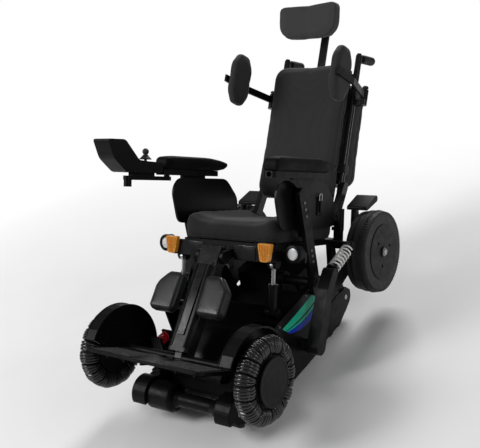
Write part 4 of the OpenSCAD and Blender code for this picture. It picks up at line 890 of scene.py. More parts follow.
    def copied(self, piece: Piece, name: str, move: Matrix) -> Piece:
        """A copy with its own mesh, moved.

        Args:
            piece: Piece to copy.
            name: Name of the copy.
            move: Move of the copy's mesh; a mirroring one is turned right side out.

        Returns:
            The copy.
        """
        twin = piece.copy()
        twin.data = piece.data.copy()
        twin.name = twin.data.name = name
        bpy.context.scene.collection.objects.link(twin)
        twin.data.transform(move)
        if move.determinant() < 0:
            twin.data.flip_normals()
        return twin

    def joined(self, pieces: Sequence[Piece], name: str) -> Piece:
        """Several pieces as one."""
        self.idle()
        for piece in pieces:
            piece.select_set(True)
        bpy.context.view_layer.objects.active = pieces[0]
        bpy.ops.object.join()
        return self.named(name)

    def modify(self, piece: Piece, kind: str, **settings: object) -> Piece:
        """Add a modifier and apply it.

        Args:
            piece: Piece to change.
            kind: Modifier type.
            settings: Attributes to set on it.

        Returns:
            The piece.
        """
        self.take(piece)
        modifier = piece.modifiers.new(kind.lower(), kind)
        for key, value in settings.items():
            setattr(modifier, key, value)
        bpy.ops.object.modifier_apply(modifier=modifier.name)
        return piece

    def rings(self, piece: Piece, spot: Vector, normal: Vector) -> list[list[Vector]]:
        """Closed lines in which a plane cuts a piece.

        Args:
            piece: Piece to cut, left as it is.
            spot: Point of the plane.
            normal: Normal of the plane.

        Returns:
            The points of each line, in turn.
        """
        spare = self.copied(piece, "spare_cut", Matrix.Identity(4))
        self.pick(spare, Part.FACE, lambda middle, way: True)
        bpy.ops.mesh.bisect(plane_co=spot, plane_no=normal, clear_outer=True)
        self.close()
        links: dict[int, list[int]] = {}
        for edge in spare.data.edges:
            if edge.select:
                for one, other in (edge.vertices, reversed(edge.vertices)):
                    links.setdefault(one, []).append(other)
        lines, left = [], set(links)
        while left:
            walk = [left.pop()]
            while True:
                step = [n for n in links[walk[-1]] if n in left]
                if not step:
                    break
                walk.append(step[0])
                left.discard(step[0])
            lines.append([spare.data.vertices[i].co.copy() for i in walk])
        bpy.data.objects.remove(spare)
        return [line for line in lines if len(line) > self.short_line]

    def settle(self, piece: Piece, place: Matrix, body: str, finish: Finish, slot: str,
               sharp: float = 35.0) -> Piece:
        """Put a piece in its place and dress it.

        Args:
            piece: Finished piece.
            place: Where its local frame goes.
            body: Body that it rides on.
            finish: Its finish.
            slot: Record slot of the finish; not used.
            sharp: Angle in degrees that stays an edge.

        Returns:
            The piece.
        """
        piece.data.transform(place)
        if place.determinant() < 0:
            piece.data.flip_normals()
        piece.data.materials.clear()
        piece.data.materials.append(finish.material())
        self.take(piece)
        bpy.ops.object.shade_smooth_by_angle(angle=math.radians(sharp))
        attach(piece, body)
        LOG.info("%s rides on %s, %d faces", piece.name, body, len(piece.data.polygons))
        return piece


SHOP = Workshop()
MIRROR = Matrix.Scale(-1, 4, (1, 0, 0))
SIDES = (("left", Matrix.Identity(4)), ("right", MIRROR))


def rounded_box(half_x: float, low_y: float, high_y: float, radius: float, steps: int = 6) -> Outline:
    """Rounded rectangle about the Y axis.

    Args:
        half_x: Half width.
        low_y: Lower edge.
        high_y: Upper edge.
        radius: Corner radius.
        steps: Segments of a corner.

    Returns:
        Its corners in turn.
    """
    left, right = radius - half_x, half_x - radius
    low, high = low_y + radius, high_y - radius
    corners = ((right, high, 0), (left, high, 90), (left, low, 180), (right, low, 270))
    outline = []
    for x, y, start in corners:
        for i in range(steps + 1):
            angle = math.radians(start + 90 * i / steps)
            outline.append((x + radius * math.cos(angle), y + radius * math.sin(angle)))
    return outline


@dataclass
class Pad:
    """A padded piece: an outline filled with foam under a cover."""

    name: str
    nodes: tuple[str, ...]
    body: str
    place: Matrix
    seen: Seen
    outline: Outline
    low: float
    high: float
    round_rim: float
    cap: float
    limit_low: Triple
    limit_high: Triple
    finish: Finish
    slot: str = "fabric"
    voxel: float = 5.0
    fill: float = 0.7
    form: Callable[[Vector], Vector] | None = None
    twin: str = ""
    twin_body: str = ""
    twin_nodes: tuple[str, ...] = ()
    piping: tuple[float, ...] = ()
    pipe: float = 2.2
    eased: int = 6
    eased_last: int = 2
    smoothing: float = 0.5
    rim_steps: int = 5
    draw_in: float = 0.25
    puff: float = 1.0
    quality: int = 4
    pressure: float = 4.0
    stretch: float = 12.0
    bending: float = 0.6
    sharp: float = 80.0
    piece: Piece | None = field(default=None, init=False)
    home: list[Vector] = field(default_factory=list, init=False)

    def cut(self) -> None:
        """Model the pad at its slack size and give it a fine even mesh."""
        self.piece = SHOP.plate(self.name, self.outline, self.low, self.high, self.round_rim, self.rim_steps)
        SHOP.modify(self.piece, "REMESH", mode="VOXEL", voxel_size=self.voxel * MM)
        if self.form:
            for vert in self.piece.data.vertices:
                vert.co = self.form(vert.co / MM) * MM
        SHOP.modify(self.piece, "SMOOTH", factor=self.smoothing, iterations=self.eased)
        self.home = [vert.co.copy() for vert in self.piece.data.vertices]

    def stuff(self) -> None:
        """Add the cloth that the filling presses out."""
        cloth = self.piece.modifiers.new("cover", "CLOTH")
        settings = cloth.settings
        settings.quality = self.quality
        settings.use_pressure = True
        settings.uniform_pressure_force = self.pressure
        settings.tension_stiffness = settings.compression_stiffness = self.stretch
        settings.bending_stiffness = self.bending
        settings.effector_weights.gravity = 0.0

    def take_up(self) -> None:
        """Apply the filled cover, no point past its cap and few drawn in."""
        ways = [vert.normal.copy() for vert in self.piece.data.vertices]
        SHOP.take(self.piece)
        bpy.ops.object.modifier_apply(modifier="cover")
        for vert, home, way in zip(self.piece.data.vertices, self.home, ways):
            move = (vert.co - home) * self.puff
            if move.dot(way) < 0:
                move *= self.draw_in
            vert.co = home + move
            if move.length > self.cap * MM:
                vert.co = home + move * (self.cap * MM / move.length)

    def keep_within(self) -> None:
        """Flatten the pad where it meets what holds it."""
        for vert in self.piece.data.vertices:
            for axis in range(3):
                vert.co[axis] = min(max(vert.co[axis], self.limit_low[axis] * MM), self.limit_high[axis] * MM)

    def sew(self) -> None:
        """Smooth the cover, add its piping, and dress it."""
        self.keep_within()
        SHOP.modify(self.piece, "SMOOTH", factor=self.smoothing, iterations=self.eased_last)
        SHOP.modify(self.piece, "SUBSURF", levels=1, render_levels=1)
        place = self.place @ self.seen.value
        for cord in [self.pipes(height) for height in self.piping]:
            if self.twin:
                other = SHOP.copied(cord, cord.name.replace("left", "right"), Matrix.Identity(4))
                SHOP.settle(other, MIRROR @ place, self.twin_body, self.finish, self.slot)
            SHOP.settle(cord, place, self.body, self.finish, self.slot)
        if self.twin:
            other = SHOP.copied(self.piece, self.twin, Matrix.Identity(4))
            self.cover(other, MIRROR @ place, self.twin_body, self.twin_nodes)
        self.cover(self.piece, place, self.body, self.nodes)

    def cover(self, piece: Piece, place: Matrix, body: str, nodes: tuple[str, ...]) -> None:
        """Args:
            piece: Pad to place.
            place: Where it goes.
            body: Body that it rides on.
            nodes: Solids that it stands for.
        """
        SHOP.settle(piece, place, body, self.finish, self.slot, self.sharp)
        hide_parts(*nodes)

    def pipes(self, height: float) -> Piece:
        """A cord sewn round the pad at a height."""
        lines = SHOP.rings(self.piece, Vector((0, 0, height * MM)), Vector((0, 0, 1)))
        return SHOP.tube(f"piping_{self.name}_{round(height)}", lines, self.pipe * MM, closed=True)


@dataclass
class SoftGoods:
    """Seat, back, head, side, arm and calf pads, and the bag."""

    frames: int = 20
    seat_half: float = 197.0
    seat_front: float = -154.0
    seat_rear: float = 231.0
    seat_foot: float = 128.6
    seat_top: float = 196.0
    seat_corner: float = 42.0
    bolster: float = 19.0
    bolster_from: float = 90.0
    bolster_run: float = 80.0
    dish: float = 7.0
    front_fall: float = 5.0
    fall_from: float = -60.0
    fall_run: float = 95.0
    back_half: float = 165.0
    back_low: float = 74.0
    back_top: float = 597.0
    back_corner: float = 48.0
    back_crown: float = 5.0
    back_wing: float = 5.0
    back_sink: float = 2.0
    back_base: float = -6.0
    back_depth: float = 42.0
    head_half: float = 123.0
    head_wrap: float = 9.0
    head_crease: float = 3.5
    crease_half: float = 30.0
    crease_from: float = 46.0
    head_edge: Points = (
        (30, -63), (89, -58), (111, -39), (120, -22), (123, 4),
        (123, 46), (117, 58), (103, 63), (40, 63), (0, 63))
    lateral_low: float = -237.0
    lateral_high: float = -127.0
    lateral_mid: float = 494.0
    lateral_tall: float = 98.0
    lateral_corner_shares: Points = ((0.5, 0.46), (0.45, 0.64), (0.26, 0.95), (0.16, 1.0))
    arm_x: float = 233.0
    arm_half: float = 28.0
    arm_rear: float = 120.0
    arm_front_left: float = -254.0
    arm_front_right: float = -229.0
    arm_room: float = 4.0
    arm_nose: Points = ((2, 362.4), (0, 384), (4, 398), (14, 405), (40, 406))
    arm_top: Points = ((20, 406), (80, 400))
    arm_tail: Points = ((-6, 393), (0, 387), (-3, 378), (-22, 368))
    arm_foot: float = 362.4
    arm_foot_in: float = 60.0
    calf_x: float = 96.0
    calf_half: float = 50.0
    calf_mid: float = -150.0
    calf_tall: float = 66.0
    calf_panel: float = 2.0
    calf_rim: float = 9.0
    calf_rim_from: float = 52.0
    calf_edge: Points = (
        (46, -204), (58, -216), (134, -216), (146, -204), (146, -136),
        (140, -122), (104, -84), (56, -84), (46, -94))
    bag_half: float = 155.0
    bag_low: float = 152.0
    bag_top: float = 552.0
    bag_corner: float = 44.0
    bag_face: float = -76.0
    bag_depth: float = 80.0
    bag_slack: float = 10.0
    bag_sag: float = 4.0

    def seat_form(self, spot: Vector) -> Vector:
        """Dish the seat between its raised sides and let its front edge fall."""
        rise = max(0.0, (spot.z - self.seat_foot) / (self.seat_top - self.seat_foot))
        side = min(1.0, max(0.0, (abs(spot.x) - self.bolster_from) / self.bolster_run))
        front = max(0.0, (self.fall_from - spot.y) / self.fall_run)
        lift = self.bolster * side * side - self.dish * (1 - side) - self.front_fall * front * front
        return Vector((spot.x, spot.y, spot.z + lift * rise))

    def back_form(self, spot: Vector) -> Vector:
        """Crown the back's front and raise its sides a little."""
        rise = max(0.0, (spot.z - self.back_base) / self.back_depth)
        across = min(1.0, abs(spot.x) / self.back_half)
        up = (spot.y - self.back_low) / (self.back_top - self.back_low)
        crown = self.back_crown * math.sin(math.pi * min(1.0, max(0.0, up)))
        lift = crown + self.back_wing * across * across - self.back_sink
        return Vector((spot.x, spot.y, spot.z + lift * rise))

    def head_form(self, spot: Vector) -> Vector:
        """Bring the headrest's wings forward a little and crease its middle."""
        across = min(1.0, abs(spot.x) / self.head_half)
        deep = self.head_crease if spot.z > self.crease_from else 0.0
        crease = deep * math.exp(-((spot.x / self.crease_half) ** 2))
        return Vector((spot.x, spot.y, spot.z + self.head_wrap * across * across - crease))

    def calf_form(self, spot: Vector) -> Vector:
        """Raise a flat panel on a calf pad's front."""
        x, y = spot.x - self.calf_x, spot.y - self.calf_mid
        inner = min(abs(x - self.calf_half), abs(x + self.calf_half),
                    abs(y - self.calf_tall), abs(y + self.calf_tall))
        rim = spot.z > self.calf_rim_from and inner < self.calf_rim
        return Vector((spot.x, spot.y, spot.z - (self.calf_panel if rim else 0.0)))

    def bag_form(self, spot: Vector) -> Vector:
        """Let the bag's filling settle to its foot."""
        up = (spot.y - self.bag_low) / (self.bag_top - self.bag_low)
        rear = max(0.0, (self.bag_face - spot.z) / self.bag_depth)
        return Vector((spot.x, spot.y, spot.z + rear * (self.bag_slack * up * up - self.bag_sag)))

    def arm_pad(self, side: str, place: Matrix, front: float) -> Pad:
        """One arm pad, drawn in side view.

        Args:
            side: Its side.
            place: Frame of its sizes.
            front: Where the pad starts.

        Returns:
            The pad.
        """
        outline = [(front + t, w) for t, w in self.arm_nose] + list(self.arm_top)
        outline += [(self.arm_rear + t, w) for t, w in self.arm_tail]
        outline += [(self.arm_foot_in, self.arm_foot), (front + self.arm_foot_in, self.arm_foot)]
        return Pad(f"arm_cover_{side}", (f"arm_pad_{side}",), f"{side}_armrest", place, Seen.SIDE,
                   outline[::-1], low=self.arm_x - self.arm_half, high=self.arm_x + self.arm_half,
                   round_rim=6, cap=4,
                   limit_low=(front - self.arm_room, 362.3, 201.5),
                   limit_high=(self.arm_rear + self.arm_room, 409, 264.5),
                   finish=ARM_SKIN, slot="pad_black", voxel=4.5, fill=0.9, eased=3)

    def pads(self) -> list[Pad]:
        """All pads in the order that they are filled."""
        wide, tall = self.lateral_high - self.lateral_low, self.lateral_tall
        mid = (self.lateral_low + self.lateral_high) / 2
        upper = list(self.lateral_corner_shares) + [(-a, b) for a, b in self.lateral_corner_shares[::-1]]
        hexagon = upper + [(-a, -b) for a, b in upper]
        lateral = [(mid + a * wide, self.lateral_mid + b * tall) for a, b in hexagon]
        head = list(self.head_edge) + [(-x, y) for x, y in self.head_edge[-2::-1]]
        return [
            Pad("seat_cover", ("seat_cushion",), "seat", AT.seat(), Seen.TOP,
                rounded_box(self.seat_half, self.seat_front, self.seat_rear, self.seat_corner),
                low=self.seat_foot, high=self.seat_top, round_rim=21, cap=9,
                limit_low=(-206.5, -170, 128.5), limit_high=(206.5, 238, 219),
                finish=SEAT_CLOTH_SHADED, form=self.seat_form, voxel=6.0, fill=0.75, piping=(137.0,)),
            Pad("back_cover", ("backrest_cushion",), "back", AT.back(), Seen.FRONT,
                rounded_box(self.back_half, self.back_low, self.back_top, self.back_corner),
                low=-7, high=36, round_rim=15, cap=9,
                limit_low=(-177, 62, -13.5), limit_high=(177, 610, 54),
                finish=CLOTH, form=self.back_form, voxel=6.0, piping=(14.0,)),
            Pad("head_cover", ("headrest_pad",), "head_pad", AT.head(), Seen.FRONT, head,
                low=27, high=74, round_rim=9, cap=5,
                limit_low=(-130, -71, 25.2), limit_high=(130, 71, 84),
                finish=HEAD_CLOTH_LIT, form=self.head_form, voxel=4.0, fill=0.8, eased=3),
            Pad("lateral_cover_left", ("lateral_pad_left",), "lateral_left", AT.back(), Seen.SIDE, lateral,
                low=201, high=233, round_rim=12, cap=5,
                limit_low=(-243, 390, 197.8), limit_high=(-121, 598, 235.8),
                finish=CLOTH, voxel=4.0, fill=0.85,
                twin="lateral_cover_right", twin_body="lateral_right", twin_nodes=("lateral_pad_right",)),
            self.arm_pad("left", AT.seat(), self.arm_front_left),
            self.arm_pad("right", MIRROR @ AT.seat(), self.arm_front_right),
            Pad("calf_cover_left", ("calf_pads",), "leg_rest", AT.leg(), Seen.FRONT, list(self.calf_edge),
                low=26.5, high=60, round_rim=7, cap=5,
                limit_low=(43, -221, 26), limit_high=(150.5, -79, 64.5),
                finish=CALF_SKIN, form=self.calf_form, voxel=4.0, fill=0.85, eased=2, puff=0.3,
                twin="calf_cover_right", twin_body="leg_rest", twin_nodes=("calf_pads",),
                piping=(32.0,), pipe=1.8),
            Pad("bag_shell", ("bag",), "back", AT.back(), Seen.FRONT,
                rounded_box(self.bag_half, self.bag_low, self.bag_top, self.bag_corner),
                low=-160, high=-72, round_rim=22, cap=12,
                limit_low=(-161, 145, -172), limit_high=(160, 562, -68.5),
                finish=CLOTH, form=self.bag_form, voxel=6.0, fill=0.35, piping=(-84.0, -126.0), pipe=1.8),
        ]

    def build(self) -> None:
        """Cut, fill and sew every pad."""
        pads = self.pads()
        for pad in pads:
            pad.cut()
        for pad in pads:
            pad.stuff()
        for step in range(1, self.frames + 1):
            bpy.context.scene.frame_set(step)
        for pad in pads:
            pad.take_up()
        bpy.context.scene.frame_set(1)
        for pad in pads:
            pad.sew()


@dataclass
class Springs:
    """The coil springs of the four wheels."""

    # The sizes are coil radius, wire radius, length and turns
    front_x: float = 176.0
    front_at: Pair = (82.3, 216.0)
    front_size: tuple[float, float, float, float] = (15.2, 2.8, 45.4, 4.0)
    rear_x: float = 293.0
    rear_at: Pair = (493.8, 320.8)
    rear_rise: float = 8.0
    rear_size: tuple[float, float, float, float] = (18.4, 3.1, 118.0, 7.0)

    def build(self) -> None:
        """Wind each spring and put it over its rod."""
        for side, mirror in SIDES:
            front = SHOP.coil(f"front_coil_{side}", *self.front_size)
            place = mirror @ AT.chassis() @ shift(self.front_x, *self.front_at) @ turn(-90, "X")
            SHOP.settle(front, place, "chassis", RED, "spring_red", sharp=60.0)
            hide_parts(f"front_spring_{side}")
            rear = SHOP.coil(f"rear_coil_{side}", *self.rear_size)
            place = mirror @ AT.chassis() @ shift(self.rear_x, *self.rear_at) @ turn(self.rear_rise - 90, "X")
            SHOP.settle(rear, place, f"rear_lift_{side}", WHITE, "spring_white", sharp=60.0)
            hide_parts(f"rear_spring_{side}")


@dataclass
class SideCovers:
    """Painted stripes and screws of the two side covers."""

    face: float = 234.0
    film: float = 0.7
    film_rim: float = 0.25
    film_steps: int = 2
    front_edge: tuple[Pair, Pair] = ((233, 240), (264, 204))
    rear_edge: tuple[Pair, Pair] = ((488, 262), (452, 190))
    bow: float = 16.0
    bow_share: float = 0.3
    bands: tuple[tuple[str, float, float, Finish], ...] = (
        ("wide_green", 0.0, 0.44, GREEN), ("slim_green", 0.52, 0.66, GREEN), ("blue", 0.68, 1.0, BLUE))
    screws: Points = ((232, 62), (408, 62), (488, 138), (222, 254), (396, 268))
    screw: Pair = (4.6, 2.6)

    def line(self, share: float, steps: int = 14) -> Outline:
        """One edge of a stripe, bowed downwards.

        Args:
            share: Place between the upper and lower edge.
            steps: Segments along it.

        Returns:
            Its points from the front to the rear.
        """
        ends = []
        for (top_t, top_h), (low_t, low_h) in (self.front_edge, self.rear_edge):
            ends.append((top_t + (low_t - top_t) * share, top_h + (low_h - top_h) * share))
        (start_t, start_h), (end_t, end_h) = ends
        points = []
        for i in range(steps + 1):
            s = i / steps
            sag = self.bow * 4 * s * (1 - s) * (self.bow_share + share)
            points.append((start_t + (end_t - start_t) * s, start_h + (end_h - start_h) * s - sag))
        return points

    def build(self) -> None:
        """Lay the stripes and set the screws on both covers."""
        for side, mirror in SIDES:
            place = mirror @ AT.chassis() @ Seen.SIDE.value
            for name, start, end, finish in self.bands:
                outline = self.line(start) + self.line(end)[::-1]
                stripe = SHOP.plate(f"stripe_{name}_{side}", outline[::-1], self.face, self.face + self.film,
                                    self.film_rim, self.film_steps)
                SHOP.settle(stripe, place, "chassis", finish, "cover_gloss")
            spots = [Vector((t, h, self.face)) for t, h in self.screws]
            Fasteners(*self.screw).set(f"cover_screws_{side}", spots, place, "chassis", "steel")


@dataclass
class Fasteners:
    """Round-head bolts with a socket."""

    radius: float = 5.0
    head: float = 3.0
    sunk: float = 0.4
    shares: Points = (
        (0, 0.3), (0.42, 0.3), (0.46, 1), (0.72, 1), (0.94, 0.7), (1, 0.25))
    sides: int = 20

    def set(self, name: str, spots: Sequence[Vector], place: Matrix, body: str, slot: str) -> Piece:
        """Set bolts, their heads along the local Z axis.

        Args:
            name: Piece name.
            spots: Places in millimetres.
            place: Frame of the places.
            body: Body that they ride on.
            slot: Record slot.

        Returns:
            The bolts as one piece.
        """
        profile = [(self.radius * out, self.head * up) for out, up in self.shares]
        profile += [(self.radius, -self.sunk), (0, -self.sunk)]
        one = SHOP.lathe("bolt", profile, self.sides)
        many = [SHOP.copied(one, f"bolt_{i}", shift(*spot)) for i, spot in enumerate(spots)]
        bpy.data.objects.remove(one)
        return SHOP.settle(SHOP.joined(many, name), place, body, BOLT, slot)


@dataclass
class FrontWheels:
    """Rollers, hub caps and fender lips of the front wheels."""

    # A crest goes from groove to groove: place along the rib, and share of the groove's depth
    centre: Pair = (0.0, 225.0)
    cap_face: float = 347.0
    cap_r: float = 74.0
    cap_shares: Points = (
        (0, 1.6), (0.4, 1.5), (0.8, 0.9), (0.9, 0.4), (0.93, 1.4), (0.98, 1.2), (1, 0.2), (1, -3), (0, -3))
    cap_sides: int = 72
    lip_r: float = 154.0
    lip_from: float = -34.0
    lip_to: float = 134.0
    lip_steps: int = 40
    lip_x: Pair = (250.0, 292.0)
    lip: float = 1.8
    wheel_x: float = 313.0
    rollers: int = 10
    roller_sides: int = 36
    axis_r: float = 102.0
    roller_half: float = 22.0
    nose: float = 3.0
    nose_r: float = 22.5
    nose_round: float = 2.0
    nose_ease: float = 1.0
    mid_r: float = 33.0
    end_r: float = 28.5
    bore_r: float = 6.4
    ribs: int = 4
    groove: float = 3.6
    fan_r: float = 31.6
    fan_ribs: int = 3
    fan_swell: float = 1.5
    fan_fill: float = 0.9
    fan_least: float = 0.5
    crest_shares: Points = (
        (0.03, 1.0), (0.1, 0.5), (0.2, 0.18), (0.34, 0.02), (0.5, 0.0),
        (0.66, 0.02), (0.8, 0.18), (0.9, 0.5), (0.97, 1.0))

    def roller(self) -> Piece:
        """One ribbed barrel roller about the local Z axis."""
        end, neck = self.roller_half, self.nose_r - self.nose_round
        reach = end - self.nose
        step = 2 * reach / self.ribs
        profile: Outline = [(self.bore_r, -end), (neck, -end), (self.nose_r, -end + self.nose_ease)]
        for i in range(self.ribs):
            for share, depth in self.crest_shares:
                along = -reach + (i + share) * step
                swell = self.mid_r - (self.mid_r - self.end_r) * (along / end) ** 2
                profile.append((swell - depth * self.groove, along))
        profile += [(self.nose_r, end - self.nose_ease), (neck, end), (self.bore_r, end), (self.bore_r, -end)]
        return SHOP.lathe("roller", profile, self.roller_sides)

    def fan(self) -> Piece:
        """One ribbed small roller about the local Z axis, which fills the wedge between two barrels."""
        unit = 1 / MM
        profile: Outline = [(self.bore_r, -unit)]
        for i in range(self.fan_ribs):
            for share, depth in self.crest_shares:
                along = -1 + 2 * (i + share) / self.fan_ribs
                radius = self.fan_r - depth * self.groove - self.fan_swell * along * along
                profile.append((radius, unit * along))
        profile += [(self.bore_r, unit), (self.bore_r, -unit)]
        piece = SHOP.lathe("fan", profile, self.roller_sides)
        half_step = math.pi / self.rollers
        for vert in piece.data.vertices:
            reach = self.axis_r * MM + vert.co.y
            room = reach * math.sin(half_step) - self.roller_half * MM * math.cos(half_step)
            vert.co.z *= self.fan_fill * max(room, self.fan_least * MM)
        return piece

    def lips(self, name: str) -> Piece:
        """The beads along a fender's two rims."""
        span = self.lip_to - self.lip_from
        sweep = [math.radians(self.lip_from + span * i / self.lip_steps) for i in range(self.lip_steps + 1)]
        arcs = [[Vector((self.lip_r * math.cos(a), self.lip_r * math.sin(a), x)) * MM for a in sweep]
                for x in self.lip_x]
        return SHOP.tube(name, arcs, self.lip * MM)

    def build(self) -> None:
        """Turn the rollers and the caps, and bend the lips."""
        one, fan = self.roller(), self.fan()
        for side, mirror in SIDES:
            place = mirror @ AT.chassis() @ shift(0, *self.centre) @ Seen.SIDE.value
            wheel = f"front_wheel_{side}"
            disc = [(self.cap_r * share, height) for share, height in self.cap_shares]
            cap = SHOP.lathe(f"hub_cap_{side}", disc, self.cap_sides)
            SHOP.settle(cap, place @ shift(0, 0, self.cap_face), wheel, DISC, "disc_metal", sharp=40.0)
            lips = self.lips(f"fender_lips_{side}")
            SHOP.settle(lips, place, f"front_swing_{side}", COVER, "cover_gloss", sharp=60.0)
            ring, fans = [], []
            for i in range(self.rollers):
                lying = shift(0, self.axis_r, self.wheel_x) @ turn(90, "Y")
                turned = turn(360 * i / self.rollers, "Z") @ lying
                ring.append(SHOP.copied(one, f"roller_{i}", turned))
                fans.append(SHOP.copied(fan, f"fan_{i}", turn(180 / self.rollers, "Z") @ turned))
            rollers = SHOP.joined(ring, f"rollers_{side}")
            SHOP.settle(rollers, place, wheel, ROLLER, "roller_rubber", sharp=50.0)
            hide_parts(f"front_rollers_{side}")
            small = SHOP.joined(fans, f"small_rollers_{side}")
            SHOP.settle(small, place, wheel, ROLLER, "roller_rubber", sharp=50.0)
        bpy.data.objects.remove(one)
        bpy.data.objects.remove(fan)


@dataclass
class RearWheels:
    """Shoulder lugs, tread bands and axle nuts of the rear wheels."""

    axle: Pair = (787.0, 237.0)
    boss: float = 336.0
    lug_r: Pair = (139.0, 150.4)
    lug_x: Pair = (304.0, 331.0)
    lug_half: float = 2.4
    lug_round: float = 1.1
    lug_lean: float = 5.5
    lugs: int = 84
    band_x: float = 284.0
    tread_r: float = 147.0
    band: Points = (
        (-3, -3), (0.6, -2.6), (1.3, -1.4), (1.3, 1.4), (0.6, 2.6), (-3, 3), (-3, -3))
    band_sides: int = 96
    nut: Points = (
        (0, 5), (6, 5), (7, 6), (11, 6), (12.5, 4.5), (12.5, 1), (16, 0.6), (16, -1), (0, -1))
    nut_sides: int = 6

    def build(self) -> None:
        """Mould the lugs round each tyre's shoulder and its band, and set the nut."""
        (inner, outer), (start, end) = self.lug_r, self.lug_x
        for side, mirror in SIDES:
            place = mirror @ AT.chassis() @ shift(0, *self.axle) @ Seen.SIDE.value
            wheel = f"rear_wheel_{side}"
            lug = SHOP.block(
                "lug", (inner, -self.lug_half, start), (outer, self.lug_half, end), self.lug_round)
            SHOP.pick(lug, Part.VERT, lambda spot, way: spot.z > (start + end) / 2 * MM)
            bpy.ops.transform.translate(value=(-self.lug_lean * MM, 0, 0))
            SHOP.close()
            ring = [SHOP.copied(lug, f"lug_{i}", turn(360 * i / self.lugs, "Z")) for i in range(self.lugs)]
            bpy.data.objects.remove(lug)
            SHOP.settle(SHOP.joined(ring, f"tyre_lugs_{side}"), place, wheel, TYRE, "tyre_rubber")
            hoop = [(self.tread_r + out, along) for out, along in self.band]
            band = SHOP.lathe(f"tyre_band_{side}", hoop, self.band_sides)
            SHOP.settle(band, place @ shift(0, 0, self.band_x), wheel, GRIP, "tyre_rubber", sharp=50.0)
            nut = SHOP.lathe(f"axle_nut_{side}", list(self.nut), self.nut_sides)
            SHOP.settle(nut, place @ shift(0, 0, self.boss), wheel, STEEL, "steel", sharp=20.0)


@dataclass
class Lamps:
    """Faceted headlights in their bezels, and fluted turn lamps."""

    light: Triple = (264.0, -158.0, 104.0)
    lens_r: float = 25.0
    lens_room: float = 0.3
    lens_shares: Points = (
        (0, 3.6), (0.3, 3.2), (0.32, 2.0), (0.6, 1.4), (0.62, 0.4), (0.9, -0.4))
    lens_rim: Pair = (-1.2, -4.0)
    facets: int = 14
    bezel: Points = (
        (19, 2.2), (20, 3.4), (26, 3.0), (28, 2.2), (29.5, 0.4), (29.5, -6), (25.6, -6), (19, 0.2), (19, 2.2))
    turn_lamp: Triple = (192.0, -212.0, 106.0)
    flutes: Points = (
        (-18, 2), (-12, -14), (-6, -24), (0, -24), (6, -24), (12, -14), (18, 2))
    flute_top: float = 24.0
    flute_r: float = 2.0

    def build(self) -> None:
        """Cut the lenses, turn their bezels and raise the flutes."""
        rim, (front, rear) = self.lens_r - self.lens_room, self.lens_rim
        glass = [(self.lens_r * share, height) for share, height in self.lens_shares]
        glass += [(rim, front), (rim, rear), (0, rear)]
        x, u, w = self.turn_lamp
        lines = [[Vector((x + across, u, w + height)) * MM for height in (low, self.flute_top)]
                 for across, low in self.flutes]
        for side, mirror in SIDES:
            place = mirror @ AT.seat() @ shift(*self.light) @ turn(90, "X")
            lens = SHOP.lathe(f"lens_{side}", glass, self.facets)
            SHOP.settle(lens, place, "seat", LENS, "lens_white", sharp=5.0)
            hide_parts("headlight_lenses")
            bezel = SHOP.lathe(f"lens_bezel_{side}", list(self.bezel))
            SHOP.settle(bezel, place, "seat", LAMP, "lamp_black", sharp=40.0)
            flutes = SHOP.tube(f"turn_flutes_{side}", lines, self.flute_r * MM, fine=3)
            SHOP.settle(flutes, mirror @ AT.seat(), "seat", AMBER, "lamp_amber", sharp=60.0)


@dataclass
class LegRest:
    """Ridge and rails of the column, and the grip bars of the footplate."""

    ridge: Points = ((16, -28), (13, -33.5), (-13, -33.5), (-16, -28))
    rail: Points = (
        (30, -24), (36, -19), (38.5, -21.5), (33, -29), (27, -31.2), (21.5, -31.4), (20, -27))
    rim: float = 0.8
    rim_steps: int = 2
    span: Pair = (-318.0, -40.0)
    ridge_span: Pair = (-280.0, -40.0)
    bars: tuple[float, ...] = (-66, -86, -106, -126, -146, -166)
    bar_x: Pair = (52.0, 216.0)
    bar_half: float = 2.2
    bar_z: Pair = (-0.8, 1.8)

    def build(self) -> None:
        """Lay the ridge, the rails and the bars."""
        rail = [SHOP.plate("rail_near", list(self.rail), *self.span, self.rim, self.rim_steps)]
        rail.append(SHOP.copied(rail[0], "rail_far", MIRROR))
        SHOP.settle(SHOP.joined(rail, "column_rails"), AT.leg(), "leg_rest", COVER, "cover_gloss")
        ridge = SHOP.plate("column_ridge", list(self.ridge), *self.ridge_span, self.rim, self.rim_steps)
        SHOP.settle(ridge, AT.leg(), "leg_rest", COLUMN, "cover_gloss")
        (start, end), (low, high) = self.bar_x, self.bar_z
        bars = []
        for i, y in enumerate(self.bars):
            near, far = (start, y - self.bar_half, low), (end, y + self.bar_half, high)
            bars.append(SHOP.block(f"bar_{i}", near, far, self.rim))
            bars.append(SHOP.copied(bars[-1], f"bar_far_{i}", MIRROR))
        SHOP.settle(SHOP.joined(bars, "foot_grip_bars"), AT.foot(), "foot_rest", GRIP, "grip_rubber")


